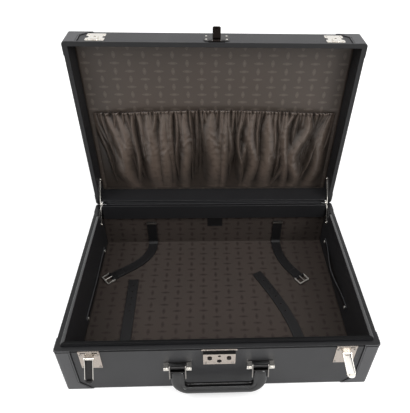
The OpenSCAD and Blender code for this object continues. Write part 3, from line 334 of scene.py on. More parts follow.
valance = eased("base_valance", 1.2, board_cloth, "valance_frame", 3)
lip_height = max(v.co.z for v in valance.data.vertices) / MM
LIP_SIDE_X, LIP_FRONT_Y, LIP_RUBBED, LIP_SHADED = 262, -170, 1.3, 6
recover(valance, rim_binding, lambda c, n: c[:, 2] > lip_height - BASE_BOUND)
# The lid rubs the lip along the sides, which has polished it.
polished_lip = grained("polished_lip", "1c1c1e", rough=0.2, shine=0.9, cell=1.2, depth=0.03, ior=1.7)
recover(valance, polished_lip,
        lambda c, n: (c[:, 2] > lip_height - LIP_RUBBED) & (np.abs(c[:, 0]) > LIP_SIDE_X))
# Its run along the front is painted near black: painted shade on the lip's front face.
front_lip_shade = grained("front_lip_shade", "070708", rough=0.45, shine=0.12, cell=1.2, depth=0.03)
recover(valance, front_lip_shade, lambda c, n: (c[:, 2] > lip_height - LIP_SHADED) & (c[:, 1] < LIP_FRONT_Y)
        & (np.abs(c[:, 0]) < LIP_SIDE_X))
refinish("side_liners", board_cloth)
for node in ("base_hinge_strip", "lid_hinge_strip"):
    refinish(node, leathercloth)


def grid_faces(rows, cols, wrap=False):
    """Quads over a grid of points, row by row; wrap joins the last column to the first."""
    r, c = np.meshgrid(np.arange(rows - 1), np.arange(cols if wrap else cols - 1), indexing="ij")
    d = (c + 1) % cols
    corners = [r * cols + c, r * cols + d, (r + 1) * cols + d, (r + 1) * cols + c]
    return np.stack(corners, -1).reshape(-1, 4)


def tube_faces(rows, sides, start=0):
    """The faces of a closed tube, from its rings of points: quads, then its two filled ends.
    start is the number of its first point."""
    end = list(range(sides))
    faces = grid_faces(rows, sides, True).tolist() + [end[::-1], [(rows - 1) * sides + k for k in end]]
    return [[start + k for k in face] for face in faces]


def facing_out(points, faces, first):
    """The faces of closed forms, turned over if the first of them look at their own middle."""
    q = np.array(faces[:first])
    a, b, c = (points[q[:, k]] for k in range(3))
    inward = np.sum(np.cross(b - a, c - a) * (a - points[q].mean((0, 1)))) < 0
    return [f[::-1] for f in faces] if inward else faces


def piece(name, points, faces, finish_of, body, stands_for=(), weave=None, crease=40):
    """A mesh in the case's frame, from points in mm. weave is each point's place on the flat
    cloth in mm, kept as a UV map in metres."""
    points = np.asarray(points, float).reshape(-1, 3) * MM
    mesh = bpy.data.meshes.new(name)
    mesh.from_pydata(points.tolist(), [], [list(map(int, f)) for f in faces])
    if weave is not None:
        layer = mesh.uv_layers.new(name="weave")
        corner = np.zeros(len(mesh.loops), np.int32)
        mesh.loops.foreach_get("vertex_index", corner)
        layer.data.foreach_set("uv", (np.asarray(weave).reshape(-1, 2)[corner] * MM).ravel())
    mesh.materials.append(finish_of)
    mesh.shade_smooth()
    mesh.set_sharp_from_angle(angle=math.radians(crease))
    made = bpy.data.objects.new(name, mesh)
    bpy.context.scene.collection.objects.link(made)
    if body:
        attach(made, body)
    if stands_for:
        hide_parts(*stands_for)
    return made


# Joint tape. A narrow strip of the same leathercloth, glued to both rims at the back, that bends
# along the hinge line and keeps light and dust out of the joint.
TAPE_HALF, TAPE_WIDE, TAPE_T, TAPE_BEND, TAPE_FOOT, TAPE_RISE = 257, 13, 0.22, 1.2, 6, 6


def joint_tape():
    """An L across the open joint, as far in front of it as above it, swept along x."""
    a = np.linspace(0, np.pi / 2, 5)
    foot = [(REAR_Y - TAPE_FOOT, BASE_H + 0.1), (REAR_Y - TAPE_FOOT / 2, BASE_H + 0.1)]
    bend = [(REAR_Y - 0.9 + TAPE_BEND * math.sin(t), BASE_H + 1.3 - TAPE_BEND * math.cos(t)) for t in a]
    rise = [(REAR_Y + 0.32, BASE_H + TAPE_RISE / 2), (REAR_Y + 0.42, BASE_H + TAPE_RISE)]
    section = np.array(foot + bend + rise)
    span = np.linspace(-TAPE_HALF, TAPE_HALF, 41)
    x, row = np.meshgrid(span, np.arange(len(section)))
    return np.stack([x, section[row, 0], section[row, 1]], -1)


points = joint_tape()
tape = piece("joint_tape", points, grid_faces(*points.shape[:2]), board_cloth, None)
tape.modifiers.new("thickness", "SOLIDIFY").thickness = TAPE_T * MM
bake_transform(tape)


# Corner patches. Pieces of smooth split leather, a little greyer than the case, glued over the
# corners and sewn along their edges with black waxed thread.
split_leather = grained("split_leather", "505052", rough=0.5, shine=0.45, cell=0.9, depth=0.06)
# Waxed thread, a twist every 0.4 mm: nearly black with a soft shine.
waxed_thread, tree, shader = finish("waxed_thread", {"Base Color": srgb("1b1b1d"), "Roughness": 0.55})
place = add(tree, "TexCoord").outputs["Object"]
twist = add(tree, "TexNoise", {"Vector": place, "Scale": 1000 / 0.4})
lift = add(tree, "Bump", {"Height": twist.outputs["Fac"], "Strength": 0.4, "Distance": 0.0001})
tree.links.new(lift.outputs["Normal"], shader.inputs["Normal"])


def along(line, pitch):
    """Points every pitch mm along a polyline, with the direction of travel at each."""
    line = np.asarray(line, float)
    reach = np.concatenate([[0], np.cumsum(np.linalg.norm(np.diff(line, axis=0), axis=1))])
    count = max(int(reach[-1] / pitch), 1)
    at = (np.arange(count) + 0.5) * reach[-1] / count
    spot = np.stack([np.interp(at, reach, line[:, k]) for k in range(3)], -1)
    near = np.stack([np.interp(at + 0.05, reach, line[:, k]) for k in range(3)], -1)
    back = np.stack([np.interp(at - 0.05, reach, line[:, k]) for k in range(3)], -1)
    heading = near - back
    return spot, heading / np.linalg.norm(heading, axis=1, keepdims=True)


def sewn(name, lines, body, pitch, length, radius):
    """Stitches along lines of (points, outward direction): each is a small spindle, its radius
    the cosine and its place along the seam the sine of one angle."""
    sides, rings = 6, 4
    spots, headings, outs = [], [], []
    for line, out in lines:
        spot, heading = along(line, pitch)
        spots.append(spot)
        headings.append(heading)
        outs.append(np.broadcast_to(np.asarray(out, float), spot.shape))
    spot, t, n = (np.concatenate(x)[:, None, None, :] for x in (spots, headings, outs))
    b = np.cross(t, n)
    lat = np.linspace(-1.25, 1.25, rings)[None, :, None, None]
    lon = (np.arange(sides) * 2 * np.pi / sides)[None, None, :, None]
    ring_r = radius * np.cos(lat)
    points = spot + t * (length / 2 * np.sin(lat) / np.sin(1.25))
    points = (points + n * (ring_r * np.cos(lon) + 0.1) + b * (ring_r * np.sin(lon))).reshape(-1, 3)
    step = np.arange(len(spot))[:, None, None] * rings * sides
    faces = (grid_faces(rings, sides, True)[None] + step).reshape(-1, 4).tolist()
    ends = [list(range(sides))[::-1], list(range((rings - 1) * sides, rings * sides))]
    faces += (np.array(ends)[None] + step).reshape(-1, sides).tolist()
    return piece(name, points, facing_out(points, faces, (rings - 1) * sides), waxed_thread, body)


for node in ("base_corners_front", "base_corners_rear", "lid_corners_front", "lid_corners_rear"):
    eased(node, 0.4, split_leather, node + "_sewn", sharp=50)

SEAM_IN, EDGE_IN, EDGE_SUNK, EDGE_R = 3.0, -0.2, 0.9, 1.15
PATCH_W, GUSSET_W, GUSSET_CUT, SOLE_CUT = 28, 50, 10, 6
BASE_FOOT, LID_FOOT = 24, 20


def patch_seams(height, foot, low, lid, inset):
    """Lines at an inset from the edges of a case half's patches: down each face, then down the
    slanted foot, mirrored to all eight faces."""
    lines = []
    slope = (GUSSET_W - PATCH_W) / foot
    shift = inset * math.hypot(1, slope)
    turn = foot + (shift - inset) / slope
    rise = [(PATCH_W - inset, height - 2), (PATCH_W - inset, turn), (GUSSET_W - shift - slope * low, low)]
    for sx in (-1, 1):
        for sy in (-1, 1):
            front = [(sx * (CASE_W / 2 + 1 - d), sy * (CASE_D / 2 + PATCH_T), z) for d, z in rise]
            side = [(sx * (CASE_W / 2 + PATCH_T), sy * (CASE_D / 2 + 1 - d), z) for d, z in rise]
            lines.append((np.array(front), (0, sy, 0)))
            lines.append((np.array(side), (sx, 0, 0)))
            if lid:
                cut = GUSSET_W - inset * 1.5
                corner = ((cut, SOLE_CUT), (cut, GUSSET_CUT), (GUSSET_CUT, cut), (SOLE_CUT, cut))
                sole = [(sx * (CASE_W / 2 + 1 - d), sy * (CASE_D / 2 + 1 - e), -PATCH_T)
                        for d, e in corner]
                lines.append((np.array(sole), (0, 0, -1)))
    return lines


def on_lid(lines):
    """The same lines on the open lid, whose patches hang from its top edge when it is shut."""
    lifted = []
    for line, out in lines:
        closed = line * (1, 1, -1) + (0, 0, BASE_H + LID_H)
        turned_out = opened(closed + np.asarray(out) * (1, 1, -1)) - opened(closed)
        lifted.append((opened(closed), turned_out[0]))
    return lifted


def beads(name, lines, body, radius, finish_of):
    """Round beads along lines of (points, outward direction), half sunk: a ring swept along
    each line, smaller at its two ends."""
    sides, points, faces = 8, [], []
    ring = (np.arange(sides) * 2 * np.pi / sides)[:, None]
    for line, out in lines:
        spot, t = along(line, 2.0)
        n = np.broadcast_to(np.asarray(out, float), spot.shape)
        b = np.cross(t, n)
        size = np.full(len(spot), float(radius))
        size[[0, -1]] *= 0.4
        around = n[:, None] * np.cos(ring) + b[:, None] * np.sin(ring)
        faces += tube_faces(len(spot), sides, sum(len(x) for x in points))
        points.append((spot[:, None] + size[:, None, None] * around).reshape(-1, 3))
    points = np.concatenate(points)
    return piece(name, points, facing_out(points, faces, sides), finish_of, body)


base_seams = patch_seams(BASE_H - 2, BASE_FOOT, 4, False, SEAM_IN)
lid_seams = patch_seams(LID_H - LID_CLEAR, LID_FOOT, 4, True, SEAM_IN)
sewn("base_patch_seams", base_seams, "base", pitch=3.4, length=2.9, radius=0.5)
sewn("lid_patch_seams", on_lid(lid_seams), "lid", pitch=3.4, length=2.9, radius=0.5)
# The patches' cut edges are painted with black edge dye, which dries as a round bead; its
# black also stands for painted shadow along the patches' raised edges.
edge_dye_and_shadow = grained("edge_dye_and_shadow", "0c0c0d", rough=0.7, shine=0.2, cell=2.0, depth=0.03)
base_edges = patch_seams(BASE_H - 2, BASE_FOOT, 3, False, EDGE_IN)
lid_edges = patch_seams(LID_H - LID_CLEAR, LID_FOOT, 3, True, EDGE_IN)
sunk = [(line - np.asarray(out) * EDGE_SUNK, out) for line, out in base_edges]
beads("base_patch_edges", sunk, "base", EDGE_R, edge_dye_and_shadow)
sunk = [(line - np.asarray(out) * EDGE_SUNK, out) for line, out in lid_edges]
beads("lid_patch_edges", on_lid(sunk), "lid", EDGE_R, edge_dye_and_shadow)

# A crease runs round the base under its rim, where the rim's binding is tucked in; a dead
# black bead in it is painted shadow. It steps out over the corner patches, and stops before the
# hinges.
CREASE_R, CREASE_IN, CREASE_DROP, STEP = 2.2, 1.8, 2.6, 0.7
step_x, step_y = CASE_W / 2 - PATCH_W + 0.5, CASE_D / 2 - PATCH_W + 0.5
front, flank = CASE_D / 2 - CREASE_IN, CASE_W / 2 - CREASE_IN
crease_z = BASE_H - CREASE_DROP
xs = (-flank - 1.5, -step_x - STEP, -step_x, step_x, step_x + STEP, flank + 1.5)
ys = (-front - 1.5, -step_y - STEP, -step_y, step_y, step_y + STEP, front - 14)
lines = [(np.array([(x, -front - PATCH_T * (abs(x) > step_x), crease_z) for x in xs]), (0, -1, 0))]
for sx in (-1, 1):
    side = [(sx * (flank + PATCH_T * (abs(y) > step_y)), y, crease_z) for y in ys]
    lines.append((np.array(side), (sx, 0, 0)))
# Painted shadow: dead black, without a shine.
crease_shadow_black = grained("crease_shadow_black", "030303", rough=0.9, shine=0.02, cell=2.0, depth=0.03)
beads("rim_crease", lines, "base", CREASE_R, crease_shadow_black)


def rim_edge(c, n):
    """The round outer edge of the base's rim, which doesn't face straight up."""
    near, x, y, z = 3, np.abs(c[:, 0]), np.abs(c[:, 1]), c[:, 2]
    outer = (x > CASE_W / 2 - near) | (y > CASE_D / 2 - near)
    return outer & (z > BASE_H - near) & (z < BASE_H - 0.1) & (n[:, 2] < 0.93)


# The rim's round outer edge, where it turns from the light, is painted dead black as shade.
recover(base_case, crease_shadow_black, rim_edge)


# Lining. Brown jacquard, woven with small lozenges and dashes set like a chessboard, glued to
# the boards: one length runs down the front wall, over the floor and up the rear wall.
FIG_X, FIG_Y, UPRIGHT, LYING, ROUNDING = 28.5, 17.0, (3.9, 7.8), (10.2, 3.1), 1.4
FADE_SPAN, RIB = 111, 0.9


def jacquard(name, ground, figure, rough, shine, depth=0.12, fold_shade_range=None, gleam=0.5):
    """Cloth woven with two figures on a lattice of FIG_X by FIG_Y mm: an upright lozenge where
    the cell's number is even, a lying dash where it is odd. A figure's form is the sum over both
    axes of (distance from its middle / half its size) ** ROUNDING, which is 1 on its edge."""
    made, tree, shader = finish(name, {"Sheen Weight": 0.12, "Sheen Roughness": 0.4,
                                       "Sheen Tint": srgb("c8beb4"), "Specular IOR Level": gleam})
    flat = add(tree, "UVMap", uv_map="weave")
    axes = add(tree, "SeparateXYZ", {0: flat})
    offs, wholes = [], []
    for axis, pitch in (("X", FIG_X), ("Y", FIG_Y)):
        at = add(tree, "Math", {0: axes.outputs[axis], 1: 1000 / pitch}, operation="MULTIPLY")
        offs.append(add(tree, "Math", {0: at, 1: 0.5}, operation="PINGPONG"))
        wholes.append(add(tree, "Math", {0: at}, operation="ROUND"))
    number = add(tree, "Math", {0: wholes[0], 1: wholes[1]}, operation="ADD")
    odd = add(tree, "Math", {0: number, 1: 1.0}, operation="PINGPONG")
    forms = []
    for halves in (UPRIGHT, LYING):
        shares = []
        for off, pitch, half in zip(offs, (FIG_X, FIG_Y), halves):
            share = add(tree, "Math", {0: off, 1: pitch / half}, operation="MULTIPLY")
            shares.append(add(tree, "Math", {0: share, 1: ROUNDING}, operation="POWER"))
        forms.append(add(tree, "Math", {0: shares[0], 1: shares[1]}, operation="ADD"))
    form = add(tree, "Mix", {0: odd, 2: forms[0], 3: forms[1]}, data_type="FLOAT")
    # The figure is solid but for a thin ring of bare ground about halfway to its edge.
    inside = add(tree, "MapRange", {"Value": form, "From Min": 0.82, "From Max": 1.05,
                                    "To Min": 1.0, "To Max": 0.0})
    halfway = add(tree, "Math", {0: form, 1: 0.5}, operation="SUBTRACT")
    halfway = add(tree, "Math", {0: halfway}, operation="ABSOLUTE")
    ring = add(tree, "MapRange", {"Value": halfway, "From Min": 0.06, "From Max": 0.12})
    figured = add(tree, "Math", {0: inside, 1: ring}, operation="MULTIPLY")
    # The dye has aged unevenly, over about FADE_SPAN mm.
    slow = add(tree, "TexNoise", {"Vector": flat, "Scale": 1000 / FADE_SPAN, "Detail": 2.0})
    aged = add(tree, "Mix", {0: slow.outputs["Fac"], 6: srgb(ground[0]), 7: srgb(ground[1])},
               data_type="RGBA")
    tone = add(tree, "Mix", {0: figured, 6: aged.outputs[2], 7: srgb(figure)}, data_type="RGBA")
    # Painted shade: the tone is multiplied darker towards the valleys of the folds.
    if fold_shade_range:
        high = add(tree, "Attribute", attribute_name="crest").outputs["Fac"]
        bright = add(tree, "MapRange", {"Value": high, "To Min": fold_shade_range[0], "To Max": fold_shade_range[1]})
        tone = add(tree, "Mix", {0: 1.0, 6: tone.outputs[2], 7: bright}, data_type="RGBA",
                   blend_type="MULTIPLY")
    # Threads of 0.35 mm are too fine for the picture, so the twill's ribs are drawn RIB mm apart.
    # A wave's period is a fifth of pi over its scale, in metres.
    ribs = add(tree, "TexWave", {"Vector": flat, "Scale": math.pi / 5 / (RIB * MM), "Distortion": 0.4},
               bands_direction="DIAGONAL")
    height = add(tree, "Math", {0: ribs.outputs["Fac"], 1: 0.4, 2: figured}, operation="MULTIPLY_ADD")
    bump = add(tree, "Bump", {"Height": height, "Strength": 0.35, "Distance": depth * MM})
    gloss = add(tree, "MapRange", {"Value": figured, "To Min": rough, "To Max": shine})
    tree.links.new(tone.outputs[2], shader.inputs["Base Color"])
    tree.links.new(gloss.outputs["Result"], shader.inputs["Roughness"])
    tree.links.new(bump.outputs["Normal"], shader.inputs["Normal"])
    return made


# One jacquard in two painted tones. The floor's copy is dark and dull, painted darker as the
# shade inside the case, its figure darker still. The lid's is paler with more shine, its figure
# lighter as a painted sheen.
shaded_floor_cloth = jacquard("jacquard_floor", ("403733", "3a3531"), "2a2220", 0.7, 0.55, gleam=0.2)
lit_lid_cloth = jacquard("jacquard_lid", ("51463f", "4a433d"), "645b53", 0.48, 0.4)


def wander(u, v, seed):
    """Slow unevenness, mostly between -1 and 1: a seeded sum of sine waves over the cloth."""
    waves, quickest = 9, 9.0
    rng = np.random.default_rng(seed)
    along_u, along_v = rng.uniform(-quickest, quickest, (2, waves))
    total = np.zeros(np.broadcast(u, v).shape)
    for a, b, phase in zip(along_u, along_v, rng.uniform(0, 7, waves)):
        total += np.sin(a * u + b * v + phase)
    return total / waves * 1.6


def thicken(made, thickness):
    """Gives an open sheet its thickness in mm, on the side away from its faces."""
    solid = made.modifiers.new("thickness", "SOLIDIFY")
    solid.thickness = thickness * MM
    solid.offset = -1
    solid.use_quality_normals = True


HALF_X, WALL_Y, FLOOR_Z, LINING_TOP, COVE = 269.9, 183.8, 6.2, 88.9, 0.8


def lining_path(count=9):
    """Down the front wall, round a cove, over the floor, round a cove and up the rear wall, as
    (y, z): straight lines joined by quarter circles."""
    a = np.linspace(0, np.pi / 2, count)
    z = np.linspace(LINING_TOP, FLOOR_Z + COVE + 1, 16)
    y = np.linspace(-WALL_Y + COVE + 1, WALL_Y - COVE - 1, 70)
    wall = np.stack([0 * z - WALL_Y, z], -1)
    cove = np.stack([-WALL_Y + COVE - COVE * np.cos(a), FLOOR_Z + COVE - COVE * np.sin(a)], -1)
    down = np.concatenate([wall, cove])
    return np.concatenate([down, np.stack([y, 0 * y + FLOOR_Z], -1), down[::-1] * (-1, 1)])


path_yz = lining_path()
reach = np.concatenate([[0], np.cumsum(np.linalg.norm(np.diff(path_yz, axis=0), axis=1))])
heading = np.gradient(path_yz, axis=0)
heading /= np.linalg.norm(heading, axis=1, keepdims=True)
facing = np.stack([-heading[:, 1], heading[:, 0]], -1)
X, S = np.meshgrid(np.linspace(-HALF_X, HALF_X, 121), reach)
# The glue holds it unevenly, so that it lies slightly wavy.
sink = -0.22 * (1 + wander(X / 90, S / 90, 4)).clip(0, 1.6)
points = np.stack([X, path_yz[:, :1] + facing[:, :1] * sink, path_yz[:, 1:] + facing[:, 1:] * sink], -1)
floor_lining = piece("floor_lining", points, grid_faces(*X.shape), shaded_floor_cloth, "base",
                     ["base_lining"], np.stack([X, S], -1))
thicken(floor_lining, 0.9)

# Lid panel. A padded board covered in the same jacquard, painted paler than the floor's, and
# glued into the lid over the whole of its top.
LID_HALF_X, LID_HALF_Y = 270.7, 185.7
LID_BOARD, LID_PAD = 5, 1.2
LID_PANEL_Z = BASE_H + LID_H - LID_BOARD - LID_PAD
X, Y = np.meshgrid(np.linspace(-LID_HALF_X, LID_HALF_X, 121), np.linspace(-LID_HALF_Y, LID_HALF_Y, 83))
sink = 0.25 * (1 + wander(X / 110, Y / 110, 5)).clip(0, 1.6)
points = opened(np.stack([X, Y, LID_PANEL_Z + sink], -1))
lid_panel = piece("lid_panel_cloth", points, grid_faces(*X.shape)[:, ::-1], lit_lid_cloth, "lid",
                  ["lid_lining"], np.stack([X, Y], -1))
thicken(lid_panel, 0.7)


# Pocket. A wide strip of the same jacquard, gathered on elastic along its free edge and sewn to
# the lid along its sides and foot, so that it stands off in irregular puffs and folds.
POCKET_HALF, POCKET_FOOT = 260.0, 180.0
POCKET_TOP, POCKET_BOW = 163, 11
POCKET_MOUTH, POCKET_BELLY, POCKET_OFF = 10, 7, 2.2
POCKET_COLS, POCKET_ROWS = 601, 73
GATHERS, CREST_H = 97, 17


def pocket_edge(u):
    """How far back the elastic lies, bowed towards the front in its middle."""
    return -REAR_Y + POCKET_TOP + POCKET_BOW * u * u


def pocket_folds(u, v):
    """Depth of the folds in mm, zero on a high crest, u across from -1 to 1 and v down from the
    elastic. Each gather is a crest h - CREST_H (|d| / w) ** p, d its distance in mm; the cloth is
    the highest of them, so that the valleys are sharp. Crests widen downwards: every seventh or so
    grows into a long fold, the others sink, and near the ends they lean to the middle."""
    rng = np.random.default_rng(21)
    k = np.arange(GATHERS)
    start = (k + 0.5 + rng.uniform(-0.3, 0.3, GATHERS)) * 2 / GATHERS - 1
    kept = np.cumsum(rng.integers(4, 12, 30)) - 3
    stays = np.isin(k, kept)
    sink = np.where(stays, rng.uniform(-1.5, 3.0, GATHERS), np.exp(rng.uniform(1.4, 4.2, GATHERS)))
    wide = np.where(stays, rng.uniform(17, 34, GATHERS), rng.uniform(6, 18, GATHERS))
    power = rng.uniform(1.2, 1.9, GATHERS)
    lean = -0.13 * start * np.abs(start) + rng.normal(0, 0.034, GATHERS)
    bow = rng.normal(0, 0.014, GATHERS)
    crests = []
    for c, down, w, p, slant, curve in zip(start, sink, wide, power, lean, bow):
        at = c + slant * v ** 1.2 + curve * np.sin(2.6 * np.pi * v + 9 * c)
        width = 8.5 + (w - 8.5) * (1 - np.exp(-v / 0.14))
        crests.append(-down * v ** 0.8 - CREST_H * (np.abs(u - at) * POCKET_HALF / width) ** p)
    top = np.max(crests, axis=0)
    soft = 0.22
    return top + soft * np.log(np.sum(np.exp((np.array(crests) - top) / soft), axis=0))


def pocket_lift(u, v):
    """How far the pocket stands off the lid's panel, in mm: the mouth and belly, less the folds,
    with creases across them and small dents."""
    u, v = np.broadcast_arrays(u, v)
    pin = 1 - np.abs(u) ** 10
    belly = POCKET_MOUTH * (1 - v ** 5) + POCKET_BELLY * np.sin(np.pi * v ** 1.2) + POCKET_OFF
    held = 1 - v ** 12
    inner = np.sin(np.pi * np.clip(v * 1.1, 0, 1))
    creases = 1.1 * np.sin(15 * v + 6 * wander(u * 5, v * 3, 10)) * np.abs(wander(u * 8, v * 4, 14))
    creases = creases * inner
    dents = (1.1 * wander(u * 10, v * 5, 11) + 0.45 * wander(u * 26, v * 11, 15)) * inner
    lift = pin * held * (belly + pocket_folds(u, v) + creases + dents)
    return 0.5 * (lift + np.sqrt(lift ** 2 + 0.6)) + 0.2


def paint_fold_shade(made, depth):
    """Keeps on a mesh how high each point lies between a valley, 0, and a crest, 1: painted
    shade darkens the cloth towards the valleys."""
    high = np.clip(1 + depth / 9, 0, 1) ** 1.5
    crest = made.data.attributes.new("crest", "FLOAT", "POINT")
    crest.data.foreach_set("value", high.ravel().astype(np.float32))


U, V = np.meshgrid(np.linspace(-1, 1, POCKET_COLS), np.linspace(0, 1, POCKET_ROWS) ** 1.25)
edge = pocket_edge(U)
spots = opened(np.stack([U * POCKET_HALF, edge + (POCKET_FOOT - edge) * V,
                         LID_PANEL_Z - pocket_lift(U, V)], -1))
across = np.linalg.norm(np.diff(spots, axis=1), axis=2)
down = np.linalg.norm(np.diff(spots, axis=0), axis=2)
weave_u = np.concatenate([np.zeros((POCKET_ROWS, 1)), np.cumsum(across, axis=1)], 1)
weave_v = np.concatenate([np.zeros((1, POCKET_COLS)), np.cumsum(down, axis=0)], 0)
# Its cloth shines like satin; its tone is painted shade, darker down into the folds' valleys
# and palest on the crests.
pocket_cloth = jacquard("jacquard_pocket", ("6a5b52", "60564d"), "584c44", 0.34, 0.3, 0.05, (0.3, 1.0))
pocket = piece("pocket_cloth", spots, grid_faces(*U.shape)[:, ::-1], pocket_cloth, "lid",
               ["lid_pocket"], np.stack([weave_u, weave_v], -1), 180)
paint_fold_shade(pocket, pocket_folds(U, V))
thicken(pocket, 0.6)

# Pocket's hem. The same cloth turned over to a narrow tunnel and sewn shut round the elastic,
# so that it puckers with the gathers.
HEM_SIDES, HEM_MID, HEM_TALL, HEM_THICK, HEM_OUT = 12, 2.6, 2.9, 1.25, 0.3
ring = (np.arange(HEM_SIDES) * 2 * np.pi / HEM_SIDES)[None, :]
u = np.linspace(-1, 1, POCKET_COLS)[:, None]
ripple = 0.2 * wander(u * 14, 0 * u, 12)
tall = -HEM_MID + HEM_TALL * np.cos(ring)
thick = (HEM_THICK + ripple) * np.sin(ring)
hem_points = opened(np.stack([u * POCKET_HALF + 0 * ring, pocket_edge(u) + tall,
                              LID_PANEL_Z - pocket_lift(u, 0 * u) - HEM_OUT - thick], -1))
hem_faces = [face[::-1] for face in tube_faces(POCKET_COLS, HEM_SIDES)]
hem_weave = np.stack(np.broadcast_arrays(u * 300, tall * 1.2), -1)
hem = piece("pocket_hem", hem_points, hem_faces, pocket_cloth, "lid",
            ["pocket_elastic"], hem_weave)
paint_fold_shade(hem, np.repeat(pocket_folds(u, 0 * u), HEM_SIDES, axis=1) - 1.5)
# Hem cord. A dull cotton cord sewn in along the top of the hem, where it hides the cloth's
# turned edge; its dark brown is painted shadow, the dark line of the gap behind the pocket's edge.
CORD_R, CORD_UP, CORD_SUNK = 0.9, 5.3, 0.4
cord_shadow = grained("cord_shadow_brown", "241c1a", rough=0.8, shine=0.5, cell=0.8, depth=0.1)
u = np.linspace(-0.997, 0.997, 261)
cord_line = opened(np.stack([u * POCKET_HALF, pocket_edge(u) - CORD_UP,
                             LID_PANEL_Z - pocket_lift(u, 0 * u) + CORD_SUNK], -1))
cord = beads("pocket_cord", [(cord_line, (0, -1, 0))], "lid", CORD_R, cord_shadow)


# Straps. Black bridle leather 22 mm wide, with waxed edges and a row of thread along each edge,
# clamped to the rear wall or fixed at the front, and lying on the floor.
# Bridle leather, curried with wax: deep black with a low, even shine.
bridle = grained("bridle_leather", "111011", rough=0.52, shine=0.28, cell=1.0, depth=0.05)
# The side straps' edges are rubbed smooth with wax; their grey is a painted highlight.
edge_highlight_grey = grained("painted_edge_highlight", "4c4c4e", rough=0.3, shine=0.5, cell=1.0, depth=0.03)
for node in ("rear_strap_left", "rear_strap_right", "front_strap_left", "front_strap_right",
             "side_strap_left", "side_strap_right"):
    strap = eased(node, 0.5, bridle, node + "_leather", sharp=40)
    strap.modifiers.clear()
    if "side" in node:
        recover(strap, edge_highlight_grey, lambda c, n: np.abs(n[:, 0]) < 0.75)
# Label. A small bare patch of the same leather, sewn to the middle of the rear wall along its
# four edges.
eased("label_patch", 0.3, bridle, "label_blank")

# Each strap's route over the floor is a curve that four points steer, as on the solids.
STRAP_W, STRAP_T, STRAP_TOP, STRAP_LOW, STRAP_BEND = 22, 2.2, 66, 6.4, 10
REAR_ROUTES = (((-154, 173.6), (-154, 118), (-204, 98), (-239, 68)),
               ((154, 173.6), (154, 120), (172, 98), (195, 61)))
FRONT_ROUTES = (((-186, -173.6), (-186, -96), (-187, -20), (-188, 60)),
                ((172, -173.6), (172, -90), (161, -44), (96, 76)))
THREAD_IN, THREAD_PITCH, THREAD_LONG, THREAD_R = 2.4, 2.8, 2.1, 0.24


def on_curve(route, t, aside):
    """Points at t on the curve that four points steer, (1-t)^3 p0 + 3t(1-t)^2 p1 + 3t^2(1-t) p2
    + t^3 p3, moved aside across it, and its direction there."""
    p = np.asarray(route, float)
    t = np.asarray(t, float)[:, None]
    spot = (1 - t) ** 3 * p[0] + 3 * t * (1 - t) ** 2 * p[1] + 3 * t * t * (1 - t) * p[2] + t ** 3 * p[3]
    go = (1 - t) ** 2 * (p[1] - p[0]) + 2 * t * (1 - t) * (p[2] - p[1]) + t * t * (p[3] - p[2])
    go /= np.linalg.norm(go, axis=1, keepdims=True)
    return spot + aside * np.stack([-go[:, 1], go[:, 0]], -1), go


def strap_seams(route, last):
    """Lines of thread a little in from both edges: down the wall, round the bend and over the
    floor as far as the share last of the route."""
    back = np.sign(route[0][1])
    inner, bend_z = STRAP_BEND - STRAP_T, STRAP_LOW + STRAP_BEND
    face = route[0][1] + back * inner
    a = np.linspace(0.1, np.pi / 2 - 0.1, 6)
    lines = []
    for aside in (-STRAP_W / 2 + THREAD_IN, STRAP_W / 2 - THREAD_IN):
        x = route[0][0] + back * aside
        lines.append((np.array([(x, face, STRAP_TOP), (x, face, bend_z)]), (0, -back, 0)))
        bend = np.stack([0 * a + x, route[0][1] + back * inner * np.cos(a),
                         bend_z - inner * np.sin(a)], -1)
        lines.append((bend, (0, -back * 0.7, 0.7)))
        spot, go = on_curve(route, np.linspace(0.01, last, 60), aside)
        lines.append((np.concatenate([spot, np.full((60, 1), STRAP_LOW + STRAP_T)], 1), (0, 0, 1)))
    return lines


seams = [line for route in REAR_ROUTES for line in strap_seams(route, 0.775)]
seams += [line for route in FRONT_ROUTES for line in strap_seams(route, 0.97)]
LABEL_X, LABEL_LOW, LABEL_TOP, LABEL_FACE = 16.4, 61.6, 83.4, 183.0
corners = [(-LABEL_X, LABEL_FACE, LABEL_LOW), (LABEL_X, LABEL_FACE, LABEL_LOW),
           (LABEL_X, LABEL_FACE, LABEL_TOP), (-LABEL_X, LABEL_FACE, LABEL_TOP)]
seams += [(np.array(ends), (0, -1, 0)) for ends in zip(corners, corners[1:] + corners[:1])]
sewn("strap_stitches", seams, "base", THREAD_PITCH, THREAD_LONG, THREAD_R)

# Each rear strap's end is turned back round its buckle's rod and sewn down on the strap: a flat
# tab with round edges, from the share TAB_FROM to TAB_TO of the strap's route.
TAB_FROM, TAB_TO, TAB_MID, TAB_HALF_T, TAB_IN = 0.78, 0.93, 0.75, 0.9, 0.3
TAB_ROWS, TAB_SIDES, TAB_SEAM_X, TAB_SEAM_Z = 30, 32, 8.4, 10.25
a = np.arange(TAB_SIDES) * 2 * np.pi / TAB_SIDES
across = np.sign(np.cos(a)) * np.abs(np.cos(a)) ** 0.35 * (STRAP_W / 2 - TAB_IN)
high = np.sign(np.sin(a)) * np.abs(np.sin(a)) ** 0.5 * TAB_HALF_T
row = np.arange(TAB_ROWS)
end_near = np.minimum(np.minimum(row, row[::-1]) / 3, 1)
round_off = np.sqrt(1 - (1 - end_near) ** 2 * 0.9)[:, None]
level = STRAP_LOW + STRAP_T + TAB_MID + high * round_off
tab_seams = []
